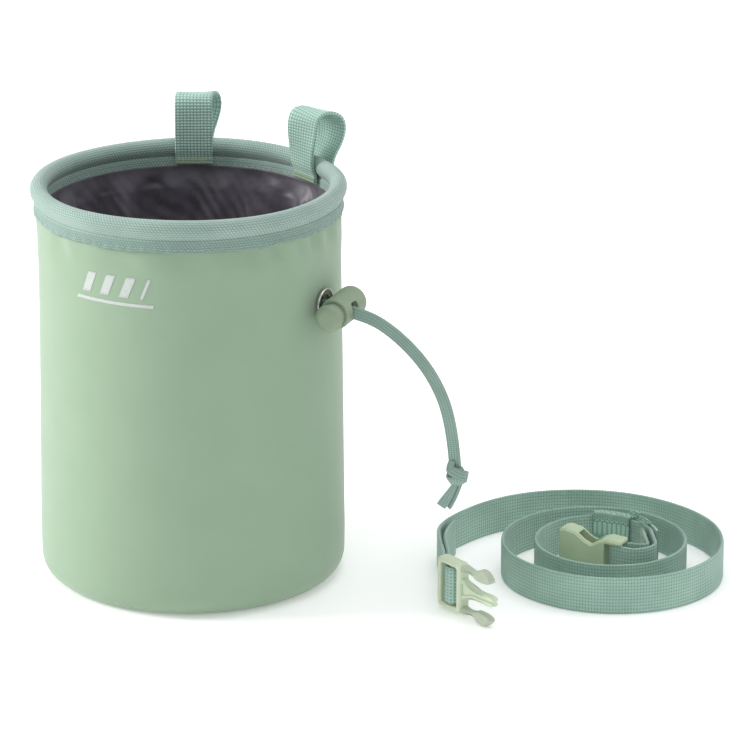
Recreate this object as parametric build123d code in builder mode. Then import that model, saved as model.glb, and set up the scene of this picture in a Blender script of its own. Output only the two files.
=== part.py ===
"""Chalk bag with a drawcord closure and a coiled webbing waist belt.

Millimetres, +Z up. The origin is the centre of the bag's base, on the surface that it stands on.
-Y is the printed front, +X is the side with the eyelet, +Y is the back with the two belt loops.
"""
import os
from math import cos, radians, sin, tan
from build123d import *

os.makedirs("parts", exist_ok=True)

# ---- bag body --------------------------------------------------------------------------------
bagHeight = 158.7            # top of the rim roll
rimRadius = 57.5             # centre line of the hoop
rollRadius = 3.3             # outside of the tape round the hoop
hoopRadius = 1.5             # rod of the hoop
sewnGap = 0.1                # room between layers that are sewn together
fabric = 0.8                 # coated shell fabric
liningFabric = 0.5
tape = 1.0                   # binding tape
foam = 2.2                   # wall stiffener
bottomSwell = 1.0            # how much wider the shell is at the base
baseRound = 8.6              # soft turn from wall to base
baseSeam = 1.75              # flat of the wall's fabric round the base panel
baseBoard = 1.2              # stiff disc under the pocket
outerFlange = 4.4            # tape leg below the seam, outside
innerFlange = 4.4            # tape leg below the seam, inside

# ---- drawcord --------------------------------------------------------------------------------
cordWidth = 4.6              # flat braid
cordThick = 2.6              # two strands face to face
cordHeight = 116.0           # centre line of the casing above the base
casingRoom = 0.5
casingDepth = 4.0
eyeletRadius = 6.0
eyeletRoom = 0.3             # cord to the eyelet's wall
eyeletPlate = 1.0
eyeletRise = 1.0             # the eyelet's centre above the cord
loopRoom = 0.16              # flat loop webbing to the curved rim

# ---- cord lock -------------------------------------------------------------------------------
lockRadius = 6.0
lockWall = 1.3
lockMouth = 6.5              # from the cord to the open end
lockLength = 17.5            # open end to closed end
lockEnd = 1.5
lockGap = 0.65               # from the eyelet to the barrel
buttonTravel = 3.0
buttonHead = 3.4
buttonRadius = 5.5
runningFit = 0.1             # plunger in barrel, on the radius
clearance = 0.3              # between pieces that move past each other
lockHoleHeight = 7.0
springWire = 0.35
lockTilt = 6.0               # the barrel's closed end rises away from the front

# ---- belt loops on the rim -------------------------------------------------------------------
webWidth = 15.0
webThick = 1.5
loopTurn = 27.5              # each loop's angle from the middle of the back
loopRise = 18.5              # top of a loop above the rim
loopDepth = 13.5             # inner leg to outer leg at the widest

# ---- waist belt ------------------------------------------------------------------------------
beltX = 141.2                # middle of the coil
beltY = 65.4
beltTurn = 30.0              # turn of the coil's own axes
coilLine = -3.0              # the line that the half turns start and end on
coilEnds = [-58.5, 52.0, -34.0, 37.5, -21.0, 24.5]   # where the webbing crosses that line
webSide = 0.3                # webbing to the rails each side
frameRail = 2.4              # side rails of the male frame
prongReach = 3.4             # prong heads and female half beyond the webbing's room, each side
barRadius = 1.5
wrapRoom = 0.35              # webbing clear of the bar
maleBar = (-55.6, -40.0)
maleTurn = -55.0
femaleBar = (9.8, -18.8)
femaleTurn = 150.0           # from the bar towards the mouth
femaleLength = 24.0
femaleThick = 8.0
keeperLift = 1.6             # the webbing off the ground where the keeper wraps it
frameThick = 5.4
prongThick = 4.0
tongueThick = 3.0

# ---- worked out from the sizes above ---------------------------------------------------------
rimHeight = bagHeight - rollRadius
seamTop = rimHeight - rollRadius - 0.7
shellOuter = rimRadius + sewnGap / 2 + sewnGap + fabric - 0.1
shellTop = seamTop
liningOuter = shellOuter - fabric - sewnGap
liningInner = liningOuter - liningFabric
shellBottom = shellOuter + bottomSwell
basePanelRadius = shellBottom - baseRound - baseSeam
eyeletHole = cordWidth / 2 + eyeletRise + eyeletRoom
webRoom = webWidth + 2 * webSide
webHalf = webRoom / 2
buckleWidth = webRoom + 2 * prongReach     # both halves stand on edge
frameWidth = webRoom + 2 * frameRail
middle = buckleWidth / 2
webLift = (buckleWidth - webWidth) / 2
loopBow = (webWidth / 2) ** 2 / (2 * rimRadius)     # rise of the curved rim across a flat loop
beltPlane = Plane(origin=(beltX, beltY, 0), x_dir=(cos(radians(beltTurn)), sin(radians(beltTurn)), 0),
                  z_dir=(0, 0, 1))


def shellRadiusAt(z):
    """Outside of the shell wall: it widens evenly from the rim to the base."""
    return shellOuter + bottomSwell * (shellTop - z) / (shellTop - baseRound)


def save(builder, label):
    """Label one finished piece and write it."""
    builder.part.label = label
    export_step(builder.part, "parts/" + label + ".step")


def revolved(points):
    """A ring from a closed outline of (radius, height) points."""
    with BuildPart() as ring:
        with BuildSketch(Plane.XZ):
            with BuildLine():
                Polyline(*points, close=True)
            make_face()
        revolve(axis=Axis.Z)
    return ring


# ---- shell, base and stiffeners --------------------------------------------------------------
with BuildPart() as outerShell:
    with BuildSketch(Plane.XZ) as wall:
        with BuildLine():
            outer = Polyline((basePanelRadius + sewnGap, 0), (shellBottom - baseRound, 0))
            turn = TangentArc(outer @ 1, (shellBottom, baseRound), tangent=(1, 0))
            Polyline(turn @ 1, (shellOuter, shellTop), (shellOuter - fabric, shellTop),
                     (shellBottom - fabric, baseRound))
            TangentArc((shellBottom - fabric, baseRound), (shellBottom - baseRound, fabric),
                       tangent=(0, -1))
            Polyline((shellBottom - baseRound, fabric), (basePanelRadius + sewnGap, fabric),
                     (basePanelRadius + sewnGap, 0))
        make_face()
    revolve(axis=Axis.Z)
    with BuildSketch(Plane.YZ.offset(shellOuter - 6)) as eyeletOpening:
        with Locations((0, cordHeight + eyeletRise)):
            Circle(eyeletHole + 0.5)
    extrude(amount=12, mode=Mode.SUBTRACT)
save(outerShell, "outer_shell")

with BuildPart() as basePanel:
    with BuildSketch():
        Circle(basePanelRadius)
    extrude(amount=fabric)
save(basePanel, "base_panel")

boardBottom = fabric + sewnGap
with BuildPart() as baseStiffener:
    with BuildSketch(Plane.XY.offset(boardBottom)):
        Circle(basePanelRadius)
    extrude(amount=baseBoard)
save(baseStiffener, "base_stiffener")

foamTop = seamTop - innerFlange - 8.0
foamBottom = baseRound + 0.4
foamOuterTop = shellRadiusAt(foamTop) - fabric - sewnGap
foamOuterBottom = shellRadiusAt(foamBottom) - fabric - sewnGap
with BuildPart() as wallStiffener:
    with BuildSketch(Plane.XZ):
        with BuildLine():
            Polyline((foamOuterBottom, foamBottom), (foamOuterTop, foamTop), (foamOuterTop - foam, foamTop),
                     (foamOuterBottom - foam, foamBottom), close=True)
        make_face()
    revolve(axis=Axis.Z)
    with BuildSketch(Plane.YZ.offset(rimRadius - 8)):
        with Locations((0, cordHeight + eyeletRise)):
            Circle(eyeletRadius + 0.6)
    extrude(amount=12, mode=Mode.SUBTRACT)
save(wallStiffener, "wall_stiffener")

# ---- rim: hoop and the tape that wraps it ----------------------------------------------------
with BuildPart() as rimHoop:
    with BuildSketch(Plane.XZ):
        with Locations((rimRadius, rimHeight)):
            Circle(hoopRadius)
    revolve(axis=Axis.Z)
save(rimHoop, "rim_hoop")

innerLeg = liningInner - sewnGap - tape
outerLeg = shellOuter + sewnGap + tape
with BuildPart() as rimBinding:
    with BuildSketch(Plane.XZ) as section:
        with Locations((rimRadius, rimHeight)):
            Circle(rollRadius)
        with BuildLine():
            Polyline((innerLeg, seamTop - innerFlange), (innerLeg + tape, seamTop - innerFlange),
                     (innerLeg + tape, rimHeight), (innerLeg, rimHeight), close=True)
        make_face()
        with BuildLine():
            Polyline((outerLeg - tape, seamTop - outerFlange), (outerLeg, seamTop - outerFlange),
                     (outerLeg, rimHeight), (outerLeg - tape, rimHeight), close=True)
        make_face()
        with Locations((rimRadius, rimHeight)):
            Circle(hoopRadius + sewnGap, mode=Mode.SUBTRACT)
        with BuildLine():
            Polyline((innerLeg + tape, seamTop - innerFlange - 1), (outerLeg - tape, seamTop - innerFlange - 1),
                     (outerLeg - tape, seamTop + sewnGap), (innerLeg + tape, seamTop + sewnGap), close=True)
        make_face(mode=Mode.SUBTRACT)
    revolve(axis=Axis.Z)
save(rimBinding, "rim_binding")

# ---- lining: collar, drawcord casing and pocket ----------------------------------------------
casingOuter = foamOuterTop - foam - 1.2
casingInner = casingOuter - casingDepth
casingHalf = cordWidth / 2 + casingRoom + liningFabric * 2
cordRing = (casingOuter + casingInner) / 2
collarTurn = seamTop - innerFlange - 0.8
liningCollar = revolved([(liningInner, seamTop), (liningOuter, seamTop), (liningOuter, collarTurn),
                         (casingOuter, foamTop + 0.4), (casingOuter, cordHeight + casingHalf + sewnGap),
                         (casingOuter - liningFabric, cordHeight + casingHalf + sewnGap),
                         (casingOuter - liningFabric, foamTop + 0.7), (liningInner, collarTurn + 0.3)])
save(liningCollar, "lining_collar")

with BuildPart() as cordCasing:
    with BuildSketch(Plane.XZ):
        with Locations((cordRing, cordHeight)):
            Rectangle(casingDepth, 2 * casingHalf)
            Rectangle(casingDepth - 2 * liningFabric, 2 * (casingHalf - liningFabric), mode=Mode.SUBTRACT)
    revolve(axis=Axis.Z)
    with BuildSketch(Plane.YZ.offset(cordRing)):
        with Locations((0, cordHeight)):
            Rectangle(cordThick + 2 * casingRoom, cordWidth + casingRoom)
    extrude(amount=casingDepth, mode=Mode.SUBTRACT)
save(cordCasing, "cord_casing")

pocketTop = cordHeight - casingHalf - sewnGap
pocketFloor = boardBottom + baseBoard + sewnGap
pocketRound = 9.0
pocketOuter = casingOuter
with BuildPart() as innerPocket:
    with BuildSketch(Plane.XZ):
        with BuildLine():
            under = Line((0, pocketFloor), (pocketOuter - pocketRound, pocketFloor))
            bend = TangentArc(under @ 1, (pocketOuter, pocketFloor + pocketRound), tangent=(1, 0))
            Polyline(bend @ 1, (pocketOuter, pocketTop), (pocketOuter - liningFabric, pocketTop),
                     (pocketOuter - liningFabric, pocketFloor + pocketRound))
            TangentArc((pocketOuter - liningFabric, pocketFloor + pocketRound),
                       (pocketOuter - pocketRound, pocketFloor + liningFabric), tangent=(0, -1))
            Polyline((pocketOuter - pocketRound, pocketFloor + liningFabric), (0, pocketFloor + liningFabric),
                     (0, pocketFloor))
        make_face()
    revolve(axis=Axis.Z)
save(innerPocket, "inner_pocket")

# ---- eyelet ----------------------------------------------------------------------------------
eyeletHeight = cordHeight + eyeletRise
eyeletBack = shellRadiusAt(eyeletHeight) + 0.2
eyeletFront = eyeletBack + eyeletPlate
with BuildPart() as eyelet:
    with BuildSketch(Plane.YZ.offset(eyeletBack)) as ringFace:
        with Locations((0, eyeletHeight)):
            Circle(eyeletRadius)
    extrude(amount=eyeletPlate)
    with BuildSketch(Plane.YZ.offset(eyeletBack - 2.4)):
        with Locations((0, eyeletHeight)):
            Circle(eyeletHole + 0.4)
    extrude(amount=2.4)
    with BuildSketch(Plane.YZ.offset(eyeletBack - 2.4)):
        with Locations((0, eyeletHeight)):
            Circle(eyeletHole)
    extrude(amount=2.4 + eyeletPlate, mode=Mode.SUBTRACT)
    rimEdges = eyelet.edges().filter_by(GeomType.CIRCLE).group_by(Axis.X)[-1]
    fillet(rimEdges, radius=0.45)
save(eyelet, "eyelet")

with BuildPart() as eyeletWasher:
    with BuildSketch(Plane.YZ.offset(eyeletBack - 2.4)):
        with Locations((0, eyeletHeight)):
            Circle(eyeletRadius - 0.6)
            Circle(eyeletHole + 0.45, mode=Mode.SUBTRACT)
    extrude(amount=0.6)
save(eyeletWasher, "eyelet_washer")

# ---- drawcord: the run in the casing, the free tail and the knot -----------------------------
lockX = eyeletFront + lockGap + lockRadius
tailStart = lockX - 9.5
with BuildPart() as drawcordLoop:
    with BuildSketch(Plane.XZ):
        with Locations((cordRing, cordHeight)):
            RectangleRounded(cordThick - 0.4, cordWidth - 0.2, 0.8)
    revolve(axis=Axis.Z)
    with BuildSketch(Plane.YZ.offset(cordRing)):
        with Locations((0, cordHeight)):
            RectangleRounded(cordThick, cordWidth, 0.8)
    extrude(amount=tailStart - cordRing)
save(drawcordLoop, "drawcord_loop")

# the tail leaves straight, then hangs in a quarter turn that the lock can travel round
tailRoute = [(tailStart, 0, cordHeight), (lockX + 9.5, 0, cordHeight), (lockX + 27.1, 0, cordHeight - 7.3),
             (lockX + 40.5, 0, cordHeight - 20.7), (lockX + 47.8, 0, cordHeight - 38.3),
             (lockX + 48.6, 0, cordHeight - 54.5)]


def cornerRadii(points):
    """Largest arc at each corner: 0.45 of the shorter run over the tangent of half the turn."""
    radii = []
    for before, corner, after in zip(points, points[1:], points[2:]):
        runIn = Vector(*corner) - Vector(*before)
        runOut = Vector(*after) - Vector(*corner)
        halfTurn = radians(runIn.get_angle(runOut)) / 2
        radii.append(0.45 * min(runIn.length, runOut.length) / tan(halfTurn))
    return radii


tailRadii = cornerRadii(tailRoute)
print("tail radii", [round(radius, 1) for radius in tailRadii])
with BuildPart() as drawcordTail:
    with BuildLine() as tailLine:
        FilletPolyline(*tailRoute, radius=tailRadii)
    with BuildSketch(Plane(origin=tailRoute[0], x_dir=(0, 1, 0), z_dir=(1, 0, 0))):
        RectangleRounded(cordThick, cordWidth, 0.8)
    sweep(path=tailLine.wires()[0])
tailLength = tailLine.wires()[0].length
print("tail length", round(tailLength, 1), "volume ratio",
      round(drawcordTail.part.volume / (tailLength * (cordThick * cordWidth - 0.86 * 0.8 ** 2)), 3))
save(drawcordTail, "drawcord_tail")

knotWidth = 8.6
knotDepth = 7.0
knotHeight = 8.6
cutEnd = 10.5
knotX, knotTop = tailRoute[-1][0] + 1.0, tailRoute[-1][2]
with BuildPart() as drawcordKnot:
    with BuildSketch(Plane.XY.offset(knotTop - knotHeight)) as knotFace:
        with Locations((knotX, 0)):
            Ellipse(knotWidth / 2, knotDepth / 2)
    extrude(amount=knotHeight)
    fillet(drawcordKnot.edges(), radius=2.6)
    for lean, side in ((-0.62, -1), (-0.20, 1)):
        strand = Plane(origin=(knotX + side * 1.2, side * 0.9, knotTop - knotHeight + 2.2), x_dir=(0, 1, 0),
                       z_dir=(lean, 0, -1))
        with BuildSketch(strand):
            RectangleRounded(cordThick / 2, cordWidth, 0.5)
        extrude(amount=cutEnd)
save(drawcordKnot, "drawcord_knot")

# ---- cord lock: barrel, sprung button --------------------------------------------------------
lockAxis = Vector(0, cos(radians(lockTilt)), sin(radians(lockTilt)))


def lockPlane(along):
    """Square to the lock, at a distance along its axis from the cord."""
    return Plane(origin=Vector(lockX, 0, cordHeight) + lockAxis * along, x_dir=(1, 0, 0), z_dir=lockAxis)


acrossLock = Plane(origin=(lockX - lockRadius - 2, 0, cordHeight), x_dir=lockAxis, z_dir=(1, 0, 0))
cavityRadius = lockRadius - lockWall
with BuildPart() as lockBarrel:
    with BuildSketch(lockPlane(-lockMouth)):
        Circle(lockRadius)
    extrude(amount=lockLength)
    fillet(lockBarrel.edges().filter_by(GeomType.CIRCLE).group_by(Axis.Y)[-1], radius=3.1)
    fillet(lockBarrel.edges().filter_by(GeomType.CIRCLE).group_by(Axis.Y)[0], radius=0.5)
    with BuildSketch(lockPlane(-lockMouth)):
        Circle(cavityRadius)
    extrude(amount=lockLength - lockEnd, mode=Mode.SUBTRACT)
    with BuildSketch(acrossLock):
        RectangleRounded(cordThick + 1.8, lockHoleHeight, 1.2)
    extrude(amount=2 * lockRadius + 4, mode=Mode.SUBTRACT)
save(lockBarrel, "cord_lock_barrel")

plungerRadius = cavityRadius - runningFit
headInner = -lockMouth - clearance - buttonTravel
plungerEnd = cordThick / 2 + clearance + 2.2
buttonHoleFrom = -cordThick / 2 - clearance - buttonTravel
buttonHoleTo = cordThick / 2 + clearance
with BuildPart() as lockButton:
    with BuildSketch(lockPlane(headInner - buttonHead)):
        Circle(buttonRadius)
    extrude(amount=buttonHead)
    fillet(lockButton.edges().filter_by(GeomType.CIRCLE).group_by(Axis.Y)[0], radius=buttonHead - 0.6)
    fillet(lockButton.edges().filter_by(GeomType.CIRCLE).group_by(Axis.Y)[-1], radius=0.4)
    with BuildSketch(lockPlane(headInner)):
        Circle(plungerRadius)
    extrude(amount=plungerEnd - headInner)
    with BuildSketch(acrossLock):
        with Locations(((buttonHoleFrom + buttonHoleTo) / 2, 0)):
            RectangleRounded(buttonHoleTo - buttonHoleFrom, lockHoleHeight, 1.2)
    extrude(amount=2 * lockRadius + 4, mode=Mode.SUBTRACT)
save(lockButton, "cord_lock_button")

springRoom = lockLength - lockEnd - lockMouth - plungerEnd
springRadius = cavityRadius - springWire - 0.6
springHeight = springRoom - 2 * springWire - 0.4
with BuildPart() as lockSpring:
    with BuildLine() as springLine:
        Helix(pitch=springHeight / 3.5, height=springHeight, radius=springRadius,
              center=lockPlane(plungerEnd + springWire + 0.2).origin, direction=lockAxis)
    with BuildSketch(Plane(origin=springLine.line @ 0, z_dir=springLine.line % 0)):
        Circle(springWire)
    sweep(path=springLine.line)
save(lockSpring, "cord_lock_spring")

# ---- belt loops over the back of the rim -----------------------------------------------------
innerFoot = innerLeg - webThick / 2 - loopBow - loopRoom
outerFoot = outerLeg + 0.3 + webThick / 2
loopTop = bagHeight + loopRise - webThick / 2
innerRoll = rimRadius - rollRadius - webThick / 2 - loopBow - loopRoom
outerRoll = rimRadius + rollRadius + 0.25 + webThick / 2
innerFootBottom = seamTop - innerFlange + 1.0
outerFootBottom = seamTop - outerFlange - 3.0
loopRoute = [(innerFoot, innerFootBottom), (innerFoot, seamTop - 0.6), (innerRoll, rimHeight - 1.0),
             (innerRoll - 0.4, bagHeight + 6), (innerRoll + 2, loopTop), (innerRoll + loopDepth - 3, loopTop),
             (innerRoll + loopDepth, bagHeight + 8), (outerRoll, rimHeight), (outerFoot, seamTop - 2.0),
             (outerFoot, outerFootBottom)]
stitchDeep = 0.4
for name, angle in (("belt_loop_left", 90 + loopTurn), ("belt_loop_right", 90 - loopTurn)):
    facing = Plane(origin=(0, 0, 0), x_dir=(cos(radians(angle)), sin(radians(angle)), 0),
                   z_dir=(sin(radians(angle)), -cos(radians(angle)), 0))
    with BuildPart() as beltLoop:
        with BuildSketch(facing) as strap:
            with BuildLine():
                FilletPolyline(*loopRoute, radius=[2, 4, 20, 4.5, 4.5, 12, 20, 10])
                offset(amount=webThick / 2, side=Side.BOTH, kind=Kind.ARC)
            make_face()
        extrude(amount=webWidth / 2, both=True)
    save(beltLoop, name)

with BuildPart() as loopBartacks:
    for angle in (90 + loopTurn, 90 - loopTurn):
        facing = Plane(origin=(0, 0, 0), x_dir=(cos(radians(angle)), sin(radians(angle)), 0),
                       z_dir=(sin(radians(angle)), -cos(radians(angle)), 0))
        with BuildSketch(facing):
            with Locations((innerFoot - webThick / 2 - stitchDeep / 2, innerFootBottom + 1.1)):
                Rectangle(stitchDeep, 1.8)
            with Locations((outerFoot + webThick / 2 + stitchDeep / 2, outerFootBottom + 1.6)):
                Rectangle(stitchDeep, 2.4)
        extrude(amount=webWidth / 2 - 1.2, both=True)
save(loopBartacks, "loop_bartacks")


# ---- waist belt ------------------------------------------------------------------------------
def halfTurn(start, end):
    """One half turn of the coil, always clockwise, between two crossings of the coil line."""
    return CenterArc((start / 2 + end / 2, coilLine), abs(end - start) / 2, 180 if end > start else 0, -180)


def placed(bar, turn, ahead, side):
    """A point given along a buckle's axis and to the right of it, in the coil's own axes."""
    return (bar[0] + ahead * cos(radians(turn)) + side * sin(radians(turn)),
            bar[1] + ahead * sin(radians(turn)) - side * cos(radians(turn)))


def sidePlane(axisX, axisY):
    """A vertical plane through the coil's middle: x along one of its axes, y upwards."""
    along = beltPlane.x_dir * axisX + beltPlane.y_dir * axisY
    return Plane(origin=beltPlane.origin, x_dir=along, z_dir=along.cross(Vector(0, 0, 1)))


wrap = barRadius + wrapRoom + webThick / 2
rampTop = webLift + webWidth

with BuildPart() as coilRun:
    with BuildSketch(beltPlane):
        with BuildLine():
            for start, end in zip(coilEnds[:4], coilEnds[1:5]):
                halfTurn(start, end)
        trace(line_width=webThick)
    extrude(amount=webWidth, dir=(0, 0, 1))

# from the coil the webbing passes inside the rear crossbar, over the bar and back under itself
layerGap = 0.3
mainLeg = wrap + 1.0
tailLeg = mainLeg + webThick + layerGap
tailSide = coilEnds[0] + webThick + layerGap
mainBend = maleBar[1] + (mainLeg + (coilEnds[0] - maleBar[0]) * sin(radians(maleTurn))) / cos(radians(maleTurn))
tailBend = maleBar[1] + (tailLeg + (tailSide - maleBar[0]) * sin(radians(maleTurn))) / cos(radians(maleTurn))
tailArc = (coilEnds[1] - coilEnds[0]) / 2 - webThick - layerGap
tailSweep = 25.0
maleRoute = [(coilEnds[0], coilLine), (coilEnds[0], mainBend), placed(maleBar, maleTurn, -4.6, -mainLeg),
             placed(maleBar, maleTurn, -wrap, wrap), placed(maleBar, maleTurn, wrap, wrap),
             placed(maleBar, maleTurn, wrap, -wrap - 0.3), placed(maleBar, maleTurn, -4.4, -tailLeg),
             (tailSide, tailBend), (tailSide, coilLine + tailArc * tan(radians(tailSweep / 2))),
             (tailSide + tailArc * (1 - cos(radians(tailSweep))), coilLine + tailArc * sin(radians(tailSweep)))]
with BuildPart() as maleEnd:
    with BuildSketch(beltPlane):
        with BuildLine():
            FilletPolyline(*maleRoute, radius=[12, 1.2, 2.0, 2.3, 1.6, 3.5, 12, 50])
        trace(line_width=webThick)
    extrude(amount=rampTop, dir=(0, 0, 1))
    with BuildSketch(sidePlane(0, 1)):
        with BuildLine():
            Polyline((40, 0), (coilLine, 0), (coilLine - 20, webLift), (-70, webLift), (-70, rampTop),
                     (coilLine - 20, rampTop), (coilLine, webWidth), (40, webWidth), close=True)
        make_face()
    extrude(amount=90, both=True, mode=Mode.INTERSECT)

# the other end runs round the female bar and is sewn back on itself
endBend = 9.0
returnBend = 5.0
returnSide = coilEnds[5] - webThick - 1.6
outward = femaleTurn + 180
farSide = placed(femaleBar, femaleTurn, 0, -wrap)
farCorner = farSide[1] + (coilEnds[5] - farSide[0]) * tan(radians(outward))
nearSide = placed(femaleBar, femaleTurn, 0, wrap)
nearCorner = nearSide[1] + (returnSide - nearSide[0]) * tan(radians(outward))
femaleRoute = [(coilEnds[5], coilLine), (coilEnds[5], farCorner), placed(femaleBar, femaleTurn, wrap, -wrap),
               placed(femaleBar, femaleTurn, wrap, wrap), (returnSide, nearCorner), (returnSide, 3.0)]
with BuildPart() as femaleEnd:
    with BuildSketch(beltPlane):
        with BuildLine():
            halfTurn(coilEnds[4], coilEnds[5])
            FilletPolyline(*femaleRoute, radius=[endBend, wrap - 0.1, wrap - 0.1, returnBend])
        trace(line_width=webThick)
    extrude(amount=rampTop, dir=(0, 0, 1))
    with BuildSketch(sidePlane(1, 0)):
        with BuildLine():
            Polyline((-40, 0), (coilEnds[4] + 1.5, 0), (2, keeperLift), (60, keeperLift), (60, rampTop),
                     (2, rampTop), (2, keeperLift + webWidth), (coilEnds[4] + 1.5, webWidth), (-40, webWidth),
                     close=True)
        make_face()
    extrude(amount=60, both=True, mode=Mode.INTERSECT)
    with BuildSketch(sidePlane(0, 1)):
        with BuildLine():
            Polyline((60, 0), (coilLine, 0), (coilLine - 11, webLift), (-60, webLift), (-60, rampTop),
                     (coilLine - 11, rampTop), (coilLine, keeperLift + webWidth), (60, keeperLift + webWidth),
                     close=True)
        make_face()
    extrude(amount=60, both=True, mode=Mode.INTERSECT)

with BuildPart() as beltWebbing:
    add(coilRun.part)
    add(maleEnd.part)
    add(femaleEnd.part)
save(beltWebbing, "belt_webbing")

# elastic keeper: a flat sleeve round the webbing on the inner turn
keeperMiddle = ((coilEnds[4] + coilEnds[5]) / 2, coilLine)
keeperTurn = (coilEnds[5] - coilEnds[4]) / 2
keeperWall = 1.1
keeperFrom, keeperSweep = 50.0, 38.0
keeperRoom = 1.0
keeperDeep = webThick + 2 * keeperRoom + 2 * keeperWall
keeperTall = webWidth + 0.6 + 2 * keeperWall
keeperAxis = Axis((beltPlane.from_local_coords(Vector(*keeperMiddle, 0))), (0, 0, 1))
keeperStart = beltPlane.x_dir.rotate(Axis.Z, keeperFrom)
with BuildPart() as beltKeeper:
    with BuildSketch(Plane(origin=keeperAxis.position, x_dir=keeperStart,
                           z_dir=keeperStart.cross(Vector(0, 0, 1)))):
        with Locations((keeperTurn, keeperLift + webWidth / 2)):
            RectangleRounded(keeperDeep, keeperTall, 1.8)
            RectangleRounded(keeperDeep - 2 * keeperWall, keeperTall - 2 * keeperWall, 0.5, mode=Mode.SUBTRACT)
    revolve(axis=keeperAxis, revolution_arc=keeperSweep)
save(beltKeeper, "belt_keeper")

with BuildPart() as beltBartacks:
    for height in (-4.6, 4.6):
        with BuildSketch(beltPlane.offset(webLift + webWidth / 2 + height - 1.2)):
            with Locations((returnSide - webThick / 2 - stitchDeep / 2, 0)):
                Rectangle(stitchDeep, 7)
        extrude(amount=2.4)
save(beltBartacks, "belt_bartacks")


# ---- buckles ---------------------------------------------------------------------------------
def bucklePlane(bar, turn):
    """The flat of a buckle half: x along its axis from the bar, y upwards."""
    axis = beltPlane.x_dir.rotate(Axis.Z, turn)
    return Plane(origin=beltPlane.from_local_coords(Vector(*bar, 0)), x_dir=axis,
                 z_dir=axis.cross(Vector(0, 0, 1)))


def barPlane(bar):
    return Plane(origin=beltPlane.from_local_coords(Vector(*bar, 0)), z_dir=(0, 0, 1))


malePlane = bucklePlane(maleBar, maleTurn)
frameBack, windowBack, windowFront, frameFront = -7.4, -5.2, 4.6, 6.6
prongTip = 26.0
with BuildPart() as maleFrame:
    with BuildSketch(malePlane):
        with Locations(((frameBack + frameFront) / 2, middle)):
            RectangleRounded(frameFront - frameBack, frameWidth, 1.6)
        with BuildLine():
            Polyline((frameFront - 1, middle - 3.0), (prongTip - 6, middle - 1.9), (prongTip - 3, middle - 2.4),
                     (prongTip + 1, middle - 1.9), (prongTip + 1, middle + 1.9), (prongTip - 3, middle + 2.4),
                     (prongTip - 6, middle + 1.9), (frameFront - 1, middle + 3.0), close=True)
        make_face()
    extrude(amount=tongueThick / 2, both=True)
    with BuildSketch(malePlane):
        with Locations(((frameBack + frameFront) / 2, middle)):
            RectangleRounded(frameFront - frameBack, frameWidth, 1.6)
    extrude(amount=frameThick / 2, both=True)
    with BuildSketch(malePlane):
        with Locations(((windowBack + windowFront) / 2, middle)):
            Rectangle(windowFront - windowBack, webRoom)
    extrude(amount=frameThick, both=True, mode=Mode.SUBTRACT)
    # the rear crossbar is thinned on the side where the webbing passes
    with BuildSketch(malePlane.offset(-frameThick / 2)):
        with Locations(((frameBack + windowBack) / 2 - 0.5, middle)):
            Rectangle(windowBack - frameBack + 1, webRoom)
    extrude(amount=1.0, mode=Mode.SUBTRACT)
    with BuildSketch(barPlane(maleBar).offset(middle - webRoom / 2 - 0.5)):
        Circle(barRadius)
    extrude(amount=webRoom + 1)
save(maleFrame, "male_buckle_frame")

prongRoot = frameFront + clearance
prongOutline = [(prongRoot, -1.2), (prongRoot, 2.0), (13.6, 1.4), (17.0, 3.1), (20.4, prongReach), (24.4, 1.8),
                (prongTip, 0.2), (24.2, -1.2), (18.6, -1.6), (14.2, -0.6)]     # ahead, and beyond webHalf
for name, side in (("male_prong_upper", 1), ("male_prong_lower", -1)):
    with BuildPart() as prong:
        with BuildSketch(malePlane) as armFace:
            with BuildLine():
                Polyline(*[(x, middle + side * (webHalf + y)) for x, y in prongOutline], close=True)
            make_face()
            fillet(armFace.vertices().group_by(Axis((0, 0, 0), malePlane.x_dir))[-1], radius=0.8)
        extrude(amount=prongThick / 2, both=True)
    save(prong, name)

femalePlane = bucklePlane(femaleBar, femaleTurn)
socketThick = prongThick + 2 * clearance + 0.2
socketTall = buckleWidth - 2 * 1.4
socketFloor = 6.4
windowEnd = 4.6
rearEdge = -2.4
upperEdge = [(rearEdge, 1.4), (3.6, 1.8), (7.0, 0.6), (10.2, -1.4), (13.2, 0.0), (16.8, 2.6), (21.5, prongReach),
             (femaleLength, 2.7)]     # ahead, and beyond webHalf
with BuildPart() as femaleBuckle:
    with BuildSketch(femalePlane) as bodyFace:
        with BuildLine():
            upper = [(x, middle + webHalf + y) for x, y in upperEdge]
            lower = [(x, middle - webHalf - y) for x, y in upperEdge[::-1]]
            Polyline(*upper, *lower, close=True)
        make_face()
        fillet(bodyFace.vertices(), radius=1.0)
    extrude(amount=femaleThick / 2, both=True)
    flats = femaleBuckle.faces().sort_by(Axis(femalePlane.origin, femalePlane.z_dir))
    chamfer(flats[-1].edges() + flats[0].edges(), length=0.8)
    with BuildSketch(femalePlane):
        with Locations(((socketFloor + femaleLength + 1) / 2, middle)):
            Rectangle(femaleLength + 1 - socketFloor, socketTall)
    extrude(amount=socketThick / 2, both=True, mode=Mode.SUBTRACT)
    with BuildSketch(femalePlane):
        with Locations(((rearEdge - 1 + windowEnd) / 2, middle)):
            Rectangle(windowEnd - rearEdge + 1, webRoom)
    extrude(amount=femaleThick, both=True, mode=Mode.SUBTRACT)
    with BuildSketch(barPlane(femaleBar).offset(middle - webRoom / 2 - 0.5)):
        Circle(barRadius)
    extrude(amount=webRoom + 1)
save(femaleBuckle, "female_buckle")
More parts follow.
